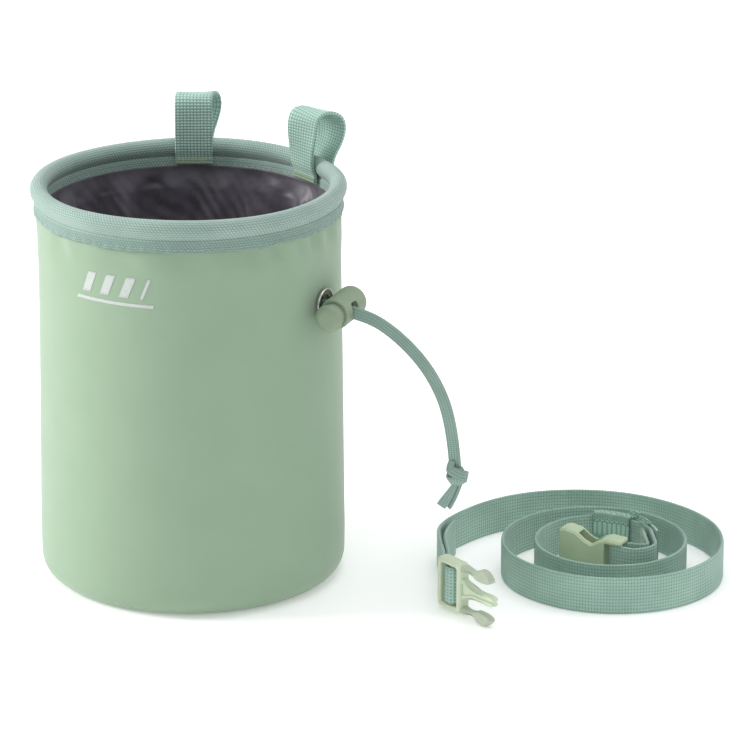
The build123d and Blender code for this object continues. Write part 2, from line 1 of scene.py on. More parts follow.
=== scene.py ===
import math
import bpy
import numpy as np
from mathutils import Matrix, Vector


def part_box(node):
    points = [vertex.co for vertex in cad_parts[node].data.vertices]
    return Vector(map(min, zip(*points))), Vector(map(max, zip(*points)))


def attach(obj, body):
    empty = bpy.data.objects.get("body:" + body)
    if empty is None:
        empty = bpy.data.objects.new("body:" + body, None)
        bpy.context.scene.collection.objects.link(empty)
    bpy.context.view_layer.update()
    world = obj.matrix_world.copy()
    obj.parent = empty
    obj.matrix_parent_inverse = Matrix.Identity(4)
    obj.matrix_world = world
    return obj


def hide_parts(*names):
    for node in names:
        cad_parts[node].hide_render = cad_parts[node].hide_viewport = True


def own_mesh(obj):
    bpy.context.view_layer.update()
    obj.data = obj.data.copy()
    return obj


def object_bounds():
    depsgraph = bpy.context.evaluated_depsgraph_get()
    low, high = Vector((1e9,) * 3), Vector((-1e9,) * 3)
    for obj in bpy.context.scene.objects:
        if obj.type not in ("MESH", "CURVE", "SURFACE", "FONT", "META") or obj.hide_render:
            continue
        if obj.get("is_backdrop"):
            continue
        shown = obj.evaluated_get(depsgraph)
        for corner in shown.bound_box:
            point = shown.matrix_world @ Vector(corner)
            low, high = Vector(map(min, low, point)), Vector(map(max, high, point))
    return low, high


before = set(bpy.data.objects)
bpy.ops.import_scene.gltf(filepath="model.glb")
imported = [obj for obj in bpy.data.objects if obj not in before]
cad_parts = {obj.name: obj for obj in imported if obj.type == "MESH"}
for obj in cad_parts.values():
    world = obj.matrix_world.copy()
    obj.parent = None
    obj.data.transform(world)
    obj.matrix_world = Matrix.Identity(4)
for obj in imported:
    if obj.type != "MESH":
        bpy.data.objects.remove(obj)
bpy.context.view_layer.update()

scene = bpy.context.scene
mm = 0.001
rng = np.random.default_rng(7)


def smoothStep(low, high, x):  # 0 below low, 1 above high, eased between
    t = np.clip((np.asarray(x, float) - low) / (high - low), 0, 1)
    return t * t * (3 - 2 * t)


# ---- camera, floor and light ------------------------------------------------------------------
view = dict(place=(0.8000, -1.3856, 0.6200), tilt=71.30, heading=27.44, lens=208.06, sensor=36.0)


def addCamera():
    lens = bpy.data.cameras.new("camera")
    lens.lens, lens.sensor_width = view["lens"], view["sensor"]
    camera = bpy.data.objects.new("camera", lens)
    camera.location = view["place"]
    camera.rotation_euler = (math.radians(view["tilt"]), 0, math.radians(view["heading"]))
    scene.collection.objects.link(camera)
    scene.camera = camera


studio = dict(world=(0.97, 0.985, 1.0), worldPower=0.60, floor=(0.93, 0.935, 0.93), floorSize=3.0,
              key=dict(place=(-1.62, -0.72, 0.90), size=0.8, power=34.0, colour=(1.0, 0.995, 0.98)),
              fill=dict(place=(0.9, -1.5, 1.5), size=1.6, power=4.0, colour=(0.97, 0.99, 1.0)),
              top=dict(place=(0.1, 0.3, 1.7), size=1.2, power=9.5, colour=(1.0, 1.0, 1.0)),
              rim=dict(place=(1.1, 0.9, 0.7), size=0.8, power=2.5, colour=(1.0, 1.0, 1.0)))


def addLight(name, target=(0.05, 0.02, 0.08)):
    row = studio[name]
    light = bpy.data.lights.new(name, "AREA")
    light.size, light.energy, light.color = row["size"], row["power"], row["colour"]
    lamp = bpy.data.objects.new(name, light)
    lamp.location = row["place"]
    lamp.rotation_euler = (Vector(target) - Vector(row["place"])).to_track_quat("-Z", "Y").to_euler()
    scene.collection.objects.link(lamp)


def addStudio():
    world = bpy.data.worlds.new("studio")
    world.use_nodes = True
    sky = world.node_tree.nodes["Background"]
    sky.inputs["Color"].default_value = (*studio["world"], 1)
    sky.inputs["Strength"].default_value = studio["worldPower"]
    scene.world = world
    for name in ("key", "fill", "top", "rim"):
        addLight(name)
    half = studio["floorSize"] / 2
    data = bpy.data.meshes.new("floor")
    data.from_pydata([(-half, -half, 0), (half, -half, 0), (half, half, 0), (-half, half, 0)], [], [(0, 1, 2, 3)])
    floor = bpy.data.objects.new("floor", data)
    scene.collection.objects.link(floor)
    paint = bpy.data.materials.new("floorPaint")
    paint.use_nodes = True
    shader = paint.node_tree.nodes["Principled BSDF"]
    shader.inputs["Base Color"].default_value = (*studio["floor"], 1)
    shader.inputs["Roughness"].default_value = 0.9
    shader.inputs["Specular IOR Level"].default_value = 0.1
    shader.inputs["Emission Color"].default_value = (1.0, 1.0, 1.0, 1)
    shader.inputs["Emission Strength"].default_value = 0.22
    data.materials.append(paint)
    floor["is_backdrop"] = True
    scene.view_settings.view_transform = "Standard"


addCamera()
addStudio()
print("camera and studio")


# ---- mesh tools -------------------------------------------------------------------------------
def gridMesh(name, points, uv=None, closeU=False, closeV=False, flip=False):
    """A surface from a grid of points: each cell of the grid is one quad, wrapping where it closes."""
    rows, cols = points.shape[:2]
    index = np.arange(rows * cols).reshape(rows, cols)
    down = np.roll(index, -1, 0) if closeU else index[1:]
    here = index if closeU else index[:-1]
    if closeV:
        a, b, c, d = here, np.roll(here, -1, 1), np.roll(down, -1, 1), down
    else:
        a, b, c, d = here[:, :-1], here[:, 1:], down[:, 1:], down[:, :-1]
    quads = np.stack([a, b, c, d], -1).reshape(-1, 4)
    if flip:
        quads = quads[:, ::-1]
    mesh = bpy.data.meshes.new(name)
    mesh.vertices.add(rows * cols)
    mesh.vertices.foreach_set("co", points.reshape(-1, 3).astype(np.float32).ravel())
    mesh.loops.add(quads.size)
    mesh.loops.foreach_set("vertex_index", quads.ravel().astype(np.int32))
    mesh.polygons.add(len(quads))
    mesh.polygons.foreach_set("loop_start", np.arange(0, quads.size, 4, dtype=np.int32))
    mesh.polygons.foreach_set("use_smooth", np.ones(len(quads), bool))
    if uv is not None:  # uv holds one row and column more than a closed grid, so the seam doesn't smear
        wide = uv.shape[1]
        tall = np.arange(uv.shape[0] * wide).reshape(uv.shape[0], wide)
        r, k = here.shape[0], quads.size // 4 // here.shape[0]
        corner = np.stack([tall[:r, :k], tall[:r, 1:k + 1], tall[1:r + 1, 1:k + 1], tall[1:r + 1, :k]], -1)
        corner = corner.reshape(-1, 4)
        if flip:
            corner = corner[:, ::-1]
        layer = mesh.uv_layers.new(name="cloth")
        layer.data.foreach_set("uv", uv.reshape(-1, 2)[corner.ravel()].astype(np.float32).ravel())
    mesh.update(calc_edges=True)
    mesh.validate()
    return mesh


def addPiece(name, mesh, body, material, nodes=()):
    piece = bpy.data.objects.new(name, mesh)
    scene.collection.objects.link(piece)
    if material:
        mesh.materials.append(material)
    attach(piece, body)
    if nodes:
        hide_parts(*nodes)
    return piece


def joined(meshes, name):
    """Several meshes as one, with their uv maps and materials kept."""
    made = []
    for mesh in meshes:
        piece = bpy.data.objects.new(name, mesh)
        scene.collection.objects.link(piece)
        made.append(piece)
    with bpy.context.temp_override(active_object=made[0], selected_editable_objects=made, object=made[0]):
        bpy.ops.object.join()
    mesh = made[0].data
    bpy.data.objects.remove(made[0])
    mesh.name = name
    return mesh


def unit(vectors):
    return vectors / np.maximum(np.linalg.norm(vectors, axis=-1, keepdims=True), 1e-12)


def resample(points, step):
    """The same line with points at an even distance, by linear steps along its length."""
    points = np.asarray(points, float)
    at = np.concatenate([[0], np.cumsum(np.linalg.norm(np.diff(points, axis=0), axis=1))])
    where = np.linspace(0, at[-1], max(4, int(round(at[-1] / step)) + 1))
    return np.stack([np.interp(where, at, points[:, k]) for k in range(3)], 1), where


def nurbsLine(points, resolution=24):
    """The smooth line of a NURBS curve whose control points are the ones given."""
    data = bpy.data.curves.new("line", "CURVE")
    data.dimensions = "3D"
    spline = data.splines.new("NURBS")
    spline.points.add(len(points) - 1)
    for spot, p in zip(spline.points, points):
        spot.co = (*p, 1)
    spline.order_u = 3
    spline.use_endpoint_u = True
    spline.resolution_u = resolution
    holder = bpy.data.objects.new("line", data)
    scene.collection.objects.link(holder)
    mesh = bpy.data.meshes.new_from_object(holder)
    line = np.array([v.co for v in mesh.vertices])
    bpy.data.objects.remove(holder)
    bpy.data.curves.remove(data)
    bpy.data.meshes.remove(mesh)
    return line


def sweptMesh(name, line, across, section, step=None, capEnds=True, roundEnd=0.0):
    """A closed section carried along a line. across is the section's first axis at each point, and
    section(along, share) gives the ring's (first, second) offsets for every point at once."""
    tangent = unit(np.gradient(line, axis=0))
    across = unit(across - (across * tangent).sum(1, keepdims=True) * tangent)
    out = np.cross(tangent, across)
    along = np.concatenate([[0], np.cumsum(np.linalg.norm(np.diff(line, axis=0), axis=1))])
    first, second, round_ = section(along)
    points = line[:, None] + across[:, None] * first[..., None] + out[:, None] * second[..., None]
    uv = np.stack(np.broadcast_arrays(along[:, None], round_), -1)
    mesh = gridMesh(name, points, uv, closeV=True, flip=True)
    if capEnds:
        capMesh(mesh, points)
    return mesh


def capMesh(mesh, points):
    """Closes a tube's two ends with a fan to the middle of each end ring."""
    import bmesh
    bm = bmesh.new()
    bm.from_mesh(mesh)
    bm.verts.ensure_lookup_table()
    rows, cols = points.shape[:2]
    layer = bm.loops.layers.uv.active
    rings = [[bm.verts[start + k] for k in range(cols)] for start in (0, (rows - 1) * cols)]
    for start, ring in zip((0, -1), (rings[0], rings[1][::-1])):
        middle = bm.verts.new(Vector(points[start].mean(0)))
        for a, b in zip(ring, ring[1:] + ring[:1]):
            face = bm.faces.new((a, b, middle))
            face.smooth = False
            if layer:
                source = next(l for l in a.link_loops if l.face != face)
                for loop in face.loops:
                    loop[layer].uv = source[layer].uv
    bm.to_mesh(mesh)
    bm.free()


def outwards(mesh):
    import bmesh
    bm = bmesh.new()
    bm.from_mesh(mesh)
    bmesh.ops.recalc_face_normals(bm, faces=bm.faces)
    bm.to_mesh(mesh)
    bm.free()
    return mesh


# ---- materials --------------------------------------------------------------------------------
class Graph:
    """Short hand for wiring a material's nodes."""

    def __init__(self, name):
        self.material = bpy.data.materials.new(name)
        self.material.use_nodes = True
        self.tree = self.material.node_tree
        self.shader = self.tree.nodes["Principled BSDF"]
        self.place = self.tree.nodes.new("ShaderNodeTexCoord")

    def node(self, kind, **inputs):
        made = self.tree.nodes.new(kind)
        for key, value in inputs.items():
            if hasattr(made, key):
                setattr(made, key, value)
        return made

    def put(self, socket, value):
        if hasattr(value, "links"):
            self.tree.links.new(value, socket)
        else:
            socket.default_value = value

    def math(self, operation, a, b=0.0, c=0.0):
        made = self.node("ShaderNodeMath", operation=operation)
        for socket, value in zip(made.inputs, (a, b, c)):
            self.put(socket, value)
        return made.outputs[0]

    def mix(self, share, a, b):
        made = self.node("ShaderNodeMix", data_type="RGBA")
        self.put(made.inputs[0], share)
        self.put(made.inputs[6], a)
        self.put(made.inputs[7], b)
        return made.outputs[2]

    def mapRange(self, value, low, high, toLow, toHigh):
        made = self.node("ShaderNodeMapRange")
        for socket, item in zip(made.inputs, (value, low, high, toLow, toHigh)):
            self.put(socket, item)
        return made.outputs[0]

    def noise(self, where, scale, detail=3.0, roughness=0.5):
        made = self.node("ShaderNodeTexNoise")
        self.put(made.inputs["Vector"], where)
        made.inputs["Scale"].default_value = scale
        made.inputs["Detail"].default_value = detail
        made.inputs["Roughness"].default_value = roughness
        return made.outputs["Fac"]

    def uvParts(self):
        parts = self.node("ShaderNodeSeparateXYZ")
        self.tree.links.new(self.place.outputs["UV"], parts.inputs[0])
        return parts.outputs[0], parts.outputs[1]

    def bump(self, height, strength, distance, normal=None):
        made = self.node("ShaderNodeBump")
        self.put(made.inputs["Height"], height)
        made.inputs["Strength"].default_value = strength
        made.inputs["Distance"].default_value = distance
        if normal is not None:
            self.put(made.inputs["Normal"], normal)
        return made.outputs["Normal"]

    def finish(self, colour=None, normal=None, rough=None, **sockets):
        if colour is not None:
            self.put(self.shader.inputs["Base Color"], colour)
        if normal is not None:
            self.put(self.shader.inputs["Normal"], normal)
        if rough is not None:
            self.put(self.shader.inputs["Roughness"], rough)
        names = dict(sheen="Sheen Weight", sheenRough="Sheen Roughness", level="Specular IOR Level",
                     metal="Metallic", coat="Coat Weight", coatRough="Coat Roughness",
                     subsurface="Subsurface Weight", subsurfaceScale="Subsurface Scale")
        for key, value in sockets.items():
            self.shader.inputs[names[key]].default_value = value
        return self.material


def wovenPattern(graph, u, v, pitchU, pitchV, offset=0.5):
    """Height of a plain weave: floats that swell over each crossing, every other column shifted by half."""
    column = graph.math("FLOOR", graph.math("DIVIDE", v, pitchV))
    shift = graph.math("MULTIPLY", graph.math("MODULO", graph.math("ABSOLUTE", column), 2.0), offset)
    alongU = graph.math("FRACT", graph.math("ADD", graph.math("DIVIDE", u, pitchU), shift))
    alongV = graph.math("FRACT", graph.math("DIVIDE", v, pitchV))
    swellU = graph.math("SINE", graph.math("MULTIPLY", alongU, math.pi))
    swellV = graph.math("SINE", graph.math("MULTIPLY", alongV, math.pi))
    return graph.math("MULTIPLY", graph.math("POWER", swellU, 0.7), graph.math("POWER", swellV, 0.6))


def ribPattern(graph, u, v, pitchU, pitchV, lean=0.5):
    """Height of a twill: short floats on a slant, from one sine across the rib and one along it."""
    alongV = graph.math("FRACT", graph.math("DIVIDE", v, pitchV))
    slant = graph.math("ADD", graph.math("DIVIDE", u, pitchU), graph.math("MULTIPLY", graph.math("DIVIDE", v, pitchV), lean))
    swellU = graph.math("SINE", graph.math("MULTIPLY", graph.math("FRACT", slant), math.pi))
    swellV = graph.math("SINE", graph.math("MULTIPLY", alongV, math.pi))
    return graph.math("MULTIPLY", graph.math("POWER", swellU, 0.8), graph.math("POWER", swellV, 0.8))


def chevronPattern(graph, u, v, pitchU, pitchV, lean):
    """Height of webbing: rows of floats across it, each row bent to a chevron within its column."""
    column = graph.math("FRACT", graph.math("DIVIDE", v, pitchV))
    bend = graph.math("ABSOLUTE", graph.math("SUBTRACT", graph.math("MULTIPLY", column, 2.0), 1.0))
    phase = graph.math("ADD", graph.math("DIVIDE", u, pitchU), graph.math("MULTIPLY", bend, lean))
    rise = graph.math("SINE", graph.math("MULTIPLY", graph.math("FRACT", phase), math.pi))
    swell = graph.math("SINE", graph.math("MULTIPLY", column, math.pi))
    return graph.math("MULTIPLY", graph.math("POWER", rise, 0.7), graph.math("POWER", swell, 0.6))


def dotPattern(graph, u, v, pitchU, pitchV, lean):
    """Height of a web seen as dots: low only where a row's edge meets a column's edge, half low along either."""
    rows, columns = (graph.math("SINE", graph.math("MULTIPLY", graph.math("FRACT", graph.math("DIVIDE", w, pitch)),
                                                   math.pi)) for w, pitch in ((u, pitchU), (v, pitchV)))
    both = graph.math("MULTIPLY", rows, columns)
    either = graph.math("SUBTRACT", graph.math("ADD", rows, columns), both)
    return graph.math("ADD", graph.math("MULTIPLY", either, 0.68), graph.math("MULTIPLY", both, 0.32))


# groove in each row is the share of painted shade mixed into the weave's grooves
cloth = {
    "shell": dict(light=(0.290, 0.400, 0.282), dark=(0.240, 0.345, 0.235), pitchU=0.55, pitchV=0.48,
                  bump=0.35, depth=0.05, rough=0.62, sheen=0.25, groove=0.10),
    "binding": dict(light=(0.410, 0.540, 0.490), dark=(0.140, 0.235, 0.195), pitchU=1.25, pitchV=0.95,
                    bump=0.9, depth=0.20, rough=0.75, sheen=0.30, groove=0.65, foot=4.6),
    "webbing": dict(light=(0.540, 0.740, 0.660), dark=(0.120, 0.250, 0.200), pitchU=1.15, pitchV=1.5,
                    bump=0.8, depth=0.15, rough=0.72, sheen=0.20, groove=0.75),
    "belt": dict(light=(0.400, 0.575, 0.490), dark=(0.080, 0.185, 0.145), pitchU=1.15, pitchV=1.5,
                 bump=1.0, depth=0.30, rough=0.72, sheen=0.20, groove=0.80),
    "keeper": dict(light=(0.420, 0.640, 0.540), dark=(0.090, 0.210, 0.160), pitchU=2.3, pitchV=0.95,
                   bump=1.0, depth=0.28, rough=0.75, sheen=0.30, groove=0.75),
    "drawcord": dict(light=(0.330, 0.460, 0.400), dark=(0.090, 0.165, 0.135), pitchU=0.80, pitchV=1.12,
                     bump=0.9, depth=0.12, rough=0.70, sheen=0.30, groove=0.65),
}


def clothMaterial(key, pattern=wovenPattern, lean=0.5):
    """Yarn colour over the floats, with painted shade in the grooves between them, slow random changes of tone and fine
    fibre noise.
    """
    row = cloth[key]
    graph = Graph(key + "Cloth")
    u, v = graph.uvParts()
    height = pattern(graph, u, v, row["pitchU"] * mm, row["pitchV"] * mm, lean)
    where = graph.place.outputs["Object"]
    shade = graph.noise(where, 60.0, 2.0)
    fibre = graph.noise(where, 5200.0, 2.0, 0.7)
    # painted shade: low parts of the weave are mixed towards the dark yarn colour
    groove = graph.mapRange(height, 0.15, 0.75, row["groove"], 0.0)
    tone = graph.mix(graph.mapRange(shade, 0.35, 0.65, 0.0, 0.22), (*row["light"], 1), (*row["dark"], 1))
    yarn = graph.mix(groove, tone, (*row["dark"], 1))
    colour = graph.mix(graph.mapRange(fibre, 0.3, 0.7, 0.0, 0.12), yarn, (*row["dark"], 1))
    if row.get("foot"):  # the tape's lower strip, in the shade of the roll
        shaded = graph.mapRange(v, row["foot"] * mm, (row["foot"] + 0.9) * mm, 0.45, 0.0)
        colour = graph.mix(shaded, colour, (*row["dark"], 1))
    relief = graph.math("ADD", height, graph.math("MULTIPLY", fibre, 0.25))
    normal = graph.bump(relief, row["bump"], row["depth"] * mm)
    return graph.finish(colour, normal, graph.mapRange(fibre, 0.3, 0.7, row["rough"] - 0.05, row["rough"] + 0.08),
                        sheen=row["sheen"], sheenRough=0.5, level=0.25)


# deep is the colour of the painted shade in the lining's creases
lining = dict(colour=(0.115, 0.104, 0.128), deep=(0.060, 0.053, 0.066), rough=0.42, sheen=0.25)


def liningMaterial(name, deep=False):
    """Crinkled satin: soft broad gloss, fine cross threads and small creases darkened by painted shade in their
    hollows. With deep set, near-black colours paint the shade deep inside the bag.
    """
    graph = Graph(name)
    where = graph.place.outputs["Object"]
    crease = graph.noise(where, 85.0, 3.0, 0.5)
    thread = graph.noise(where, 4200.0, 1.0)
    # painted shade: the colour falls towards deep where the crease height is low
    colour = graph.mix(graph.mapRange(crease, 0.3, 0.7, 0.0, 1.0), (*lining["deep"], 1), (*lining["colour"], 1))
    # with deep set, near-black colours paint the shade that falls deep inside the bag
    if deep:
        colour = graph.mix(graph.mapRange(crease, 0.3, 0.7, 0.0, 1.0), (0.012, 0.010, 0.013, 1), (0.030, 0.026, 0.032, 1))
    normal = graph.bump(crease, 0.6, 1.2 * mm, graph.bump(thread, 0.25, 0.03 * mm))
    return graph.finish(colour, normal, graph.mapRange(crease, 0.3, 0.7, lining["rough"] - 0.06, lining["rough"] + 0.12),
                        sheen=lining["sheen"], sheenRough=0.4, level=0.45)


# the frame's copy of the buckle plastic is lighter as painted light and the prongs' copy darker as painted shade; the
# buckle halves are one plastic
plastics = {"lockPlastic": dict(colour=(0.275, 0.350, 0.245), dark=(0.245, 0.320, 0.218)),
            "bucklePlastic": dict(colour=(0.500, 0.610, 0.420), dark=(0.430, 0.550, 0.350)),
            "framePlasticPaintedLight": dict(colour=(0.620, 0.700, 0.530), dark=(0.560, 0.650, 0.470)),
            "prongPlasticPaintedShade": dict(colour=(0.450, 0.510, 0.405), dark=(0.400, 0.470, 0.360))}


def plasticMaterial(key):
    """Satin moulded plastic: an even colour, fine spark texture, faint flow marks and a soft glow inside."""
    row = plastics[key]
    graph = Graph(key)
    where = graph.place.outputs["Object"]
    grain = graph.noise(where, 2600.0, 3.0, 0.6)
    flow = graph.noise(where, 95.0, 2.0)
    colour = graph.mix(graph.mapRange(flow, 0.35, 0.65, 0.0, 0.6), (*row["colour"], 1), (*row["dark"], 1))
    normal = graph.bump(grain, 0.22, 0.03 * mm)
    return graph.finish(colour, normal, graph.mapRange(flow, 0.3, 0.7, 0.42, 0.52), level=0.4,
                        subsurface=0.12, subsurfaceScale=0.003)


def metalMaterial(name, colour, roughness):
    """Plated metal with fine hairlines and slight tarnish."""
    graph = Graph(name)
    where = graph.place.outputs["Object"]
    tarnish = graph.noise(where, 420.0, 4.0, 0.6)
    shade = graph.mix(graph.mapRange(tarnish, 0.4, 0.7, 0.0, 0.5), (*colour, 1), (*(c * 0.6 for c in colour), 1))
    return graph.finish(shade, graph.bump(tarnish, 0.15, 0.02 * mm),
                        graph.mapRange(tarnish, 0.3, 0.7, roughness, roughness + 0.14), metal=1.0)


def threadMaterial(name, colour):
    """Twisted thread: slanted plies across its own length, with painted shade between the plies."""
    graph = Graph(name)
    u, v = graph.uvParts()
    ply = graph.math("SINE", graph.math("ADD", graph.math("MULTIPLY", u, 2 * math.pi / (0.45 * mm)),
                                        graph.math("MULTIPLY", v, 2 * math.pi)))
    # painted shade: each ply darkens towards its trough
    shade = graph.mix(graph.mapRange(ply, -1.0, 1.0, 0.4, 0.0), (*colour, 1), (*(c * 0.45 for c in colour), 1))
    return graph.finish(shade, graph.bump(ply, 0.6, 0.05 * mm), 0.55, sheen=0.3, level=0.3)


def sheetMaterial(name, light, dark, scale, roughness):
    """A plain sheet such as foam or board, mottled at one scale."""
    graph = Graph(name)
    where = graph.place.outputs["Object"]
    cells = graph.noise(where, scale, 3.0, 0.6)
    shade = graph.mix(graph.mapRange(cells, 0.3, 0.7, 0.0, 1.0), (*dark, 1), (*light, 1))
    return graph.finish(shade, graph.bump(cells, 0.3, 0.1 * mm), roughness)


shellCloth = clothMaterial("shell")
bindingCloth = clothMaterial("binding", ribPattern, 0.5)
webbingCloth = clothMaterial("webbing", chevronPattern, 0.30)
beltCloth = clothMaterial("belt", dotPattern, 0.0)
keeperCloth = clothMaterial("keeper", wovenPattern, 0.5)
cordCloth = clothMaterial("drawcord", chevronPattern, 0.6)
liningCloth = liningMaterial("liningSatin")
# the pocket's near-black copy of the satin: painted shade deep inside the bag
pocketCloth = liningMaterial("pocketFleecePaintedShade", deep=True)
lockPlastic = plasticMaterial("lockPlastic")
bucklePlastic = plasticMaterial("bucklePlastic")
# prong copy darker as painted shade, frame copy lighter as painted light
prongPlasticPaintedShade = plasticMaterial("prongPlasticPaintedShade")
framePlasticPaintedLight = plasticMaterial("framePlasticPaintedLight")
nickel = metalMaterial("nickelPlate", (0.66, 0.65, 0.62), 0.16)
springSteel = metalMaterial("springSteel", (0.50, 0.50, 0.50), 0.30)
bartackThread = threadMaterial("bartackThread", (0.46, 0.60, 0.42))
seamThread = threadMaterial("seamThread", (0.42, 0.55, 0.46))
foamSheet = sheetMaterial("foamSheet", (0.70, 0.71, 0.68), (0.52, 0.53, 0.50), 1800.0, 0.9)
boardSheet = sheetMaterial("boardSheet", (0.10, 0.10, 0.10), (0.05, 0.05, 0.05), 900.0, 0.6)
rodPlastic = sheetMaterial("rodPlastic", (0.03, 0.03, 0.03), (0.015, 0.015, 0.015), 700.0, 0.4)
casedCord = sheetMaterial("casedCord", (0.330, 0.460, 0.400), (0.150, 0.240, 0.200), 1400.0, 0.75)
printInk = sheetMaterial("printInk", (0.56, 0.59, 0.57), (0.48, 0.52, 0.49), 1500.0, 0.7)
carried = {"eyelet": nickel, "eyelet_washer": nickel, "cord_lock_barrel": lockPlastic, "cord_lock_button": lockPlastic,
           "cord_lock_spring": springSteel, "male_buckle_frame": bucklePlastic, "male_prong_upper": bucklePlastic,
           "male_prong_lower": bucklePlastic, "female_buckle": bucklePlastic, "wall_stiffener": foamSheet,
           "base_stiffener": boardSheet, "rim_hoop": rodPlastic, "drawcord_loop": casedCord}
for node, material in carried.items():
    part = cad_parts[node].data
    part.materials.clear()
    part.materials.append(material)
print("materials")


# ---- outer shell ------------------------------------------------------------------------------
bag = dict(rimRadius=57.5, rollRadius=3.3, rollHeight=155.4, seamTop=151.4, shellTop=58.35, swell=1.0,
           baseRound=8.6, flange=4.4, puff=1.7, tape=1.0, eyeletHeight=117.0)
shell = dict(around=480, rows=150, hem=150.6, cloth=0.8, foam=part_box("wall_stiffener")[1][2] / mm,
             puckers=[(-38, 1.5, 3.6), (-27, 2.2, 4.0), (-17, 1.4, 3.0), (-8, 1.8, 3.4), (4, 1.2, 4.0), (-62, 0.8, 6.0),
                      (-88, 0.6, 6.0), (-118, 0.9, 4.5), (38, 0.9, 6.0), (75, 0.8, 7.0), (120, 0.9, 6.0),
                      (160, 0.8, 7.0), (205, 0.9, 6.0)])


def shellRadius(theta, z):
    """Radius in mm of the cloth wall: widening evenly to the base, dented below the flange by each pucker,
    pulled in round the eyelet, and uneven by a few slow waves."""
    top, foot = bag["seamTop"], bag["baseRound"]
    radius = bag["shellTop"] + bag["swell"] * (top - z) / (top - foot)
    below = np.clip(top - bag["flange"] - z, 0, None)
    dent = np.zeros(np.broadcast(theta, z).shape)
    for degrees, depth, width in shell["puckers"]:
        turn = np.angle(np.exp(1j * (theta - np.radians(degrees))))
        lean = turn - np.radians(0.25) * below
        shape = np.exp(-(lean / np.radians(width * (1 + below / 16))) ** 2)
        dent += depth * shape * np.exp(-((below - 4.5) / 6.5) ** 2) * smoothStep(-1.5, 2.0, below)
        dent -= 0.30 * depth * np.exp(-((lean - np.radians(width * 1.5)) / np.radians(width * 0.8)) ** 2) \
            * np.exp(-((below - 4.0) / 5.5) ** 2)
    facing = np.angle(np.exp(1j * (theta + np.radians(26))))
    puff = bag["puff"] * np.exp(-((below - 8.0) / 8.5) ** 2) * (0.30 + 0.70 * np.exp(-(facing / 0.50) ** 2))
    room = puff + 0.12 + 3 * smoothStep(shell["foam"], shell["foam"] + 4, z)
    dent = room * np.tanh(dent / room) - puff
    dent = np.maximum(dent, -0.75 - 0.9 * smoothStep(0, 7, below)) * (1 - smoothStep(top - 4.8, top - 3.6, z))
    away = np.hypot(np.angle(np.exp(1j * theta)) * radius, z - bag["eyeletHeight"])
    dent += 0.55 * np.exp(-(away / 9.0) ** 2)
    calm = smoothStep(2, 20, z) * smoothStep(0, 8, top - bag["flange"] - z)
    waves = 0.30 * np.sin(2 * theta + 0.7 + z / 60) + 0.18 * np.sin(3 * theta + 2.1 - z / 35) \
        + 0.10 * np.sin(5 * theta + z / 22)
    return radius - dent + calm * waves


def shellSurface(theta, along, inset=0.0):
    """The wall and its turn under the base: along runs from the hem down, then round a quarter turn to the panel."""
    foot, top = bag["baseRound"], shell["hem"]
    wall = top - foot
    arc = foot * math.pi / 2
    z = np.where(along < wall, top - along, 0.0)
    angle = np.clip((along - wall) / foot, 0, math.pi / 2)
    flat = np.clip(along - wall - arc, 0, None)
    radius = shellRadius(theta, np.maximum(z, foot))
    turn = along >= wall
    r = np.where(turn, radius - foot + (foot - inset) * np.cos(angle) - flat, radius - inset)
    h = np.where(turn, foot - (foot - inset) * np.sin(angle), z)
    return np.stack([r * np.cos(theta), r * np.sin(theta), h], -1) * mm


def buildShell():
    """Two skins a cloth's thickness apart, joined at the hem and at the base seam."""
    theta = np.linspace(0, 2 * math.pi, shell["around"], endpoint=False)
    total = shell["hem"] - bag["baseRound"] + bag["baseRound"] * math.pi / 2 + 1.7
    along = np.concatenate([np.linspace(0, 40, 64, endpoint=False), np.linspace(40, total, shell["rows"] - 64)])
    across, down = np.meshgrid(theta, along)
    outer = shellSurface(across, down)
    inner = shellSurface(across, down, shell["cloth"])
    grid = np.concatenate([outer, inner[::-1]])
    turn = np.append(theta, 2 * math.pi)
    lengths = np.concatenate([along, along[::-1], along[:1]])
    uv = np.stack(np.broadcast_arrays((turn * bag["shellTop"])[None] * mm, lengths[:, None] * mm), -1)
    mesh = gridMesh("shellWall", grid, uv, closeU=True, closeV=True, flip=False)
    return addPiece("shellWall", outwards(mesh), "bag", shellCloth, ("outer_shell",))


buildShell()


def buildBasePanel():
    """A disc that bulges a little upwards in the middle, with a turned edge at its seam."""
    radius = bag["shellTop"] + bag["swell"] - bag["baseRound"] - 1.75
    r = np.concatenate([np.linspace(0.02, radius - 0.6, 30), radius - 0.6 + 0.6 * np.sin(np.linspace(0.2, 1.5, 6))])
    theta = np.linspace(0, 2 * math.pi, 180, endpoint=False)
    across, out = np.meshgrid(theta, r)
    low = 0.02 + 0.5 * (1 - (out / radius) ** 2) + 0.3 * smoothStep(radius - 0.6, radius, out)
    bottom = np.stack([out * np.cos(across), out * np.sin(across), low], -1)
    top = bottom.copy()
    top[..., 2] = 0.8
    grid = np.concatenate([bottom, top[::-1]]) * mm
    turn = np.append(theta, 2 * math.pi)
    reach = np.concatenate([r, r[::-1], r[:1]])
    uv = np.stack([reach[:, None] * np.cos(turn), reach[:, None] * np.sin(turn)], -1) * mm
    mesh = gridMesh("basePanel", grid, uv, closeU=True, closeV=True)
    addPiece("basePanel", outwards(mesh), "bag", shellCloth, ("base_panel",))


buildBasePanel()
print("shell and base")


# ---- printed mark: three slanted bars on a thin line -------------------------------------------
mark = dict(angle=-90.0, height=131.0, width=34.0, tall=13.0, lift=0.12, ink=0.06)


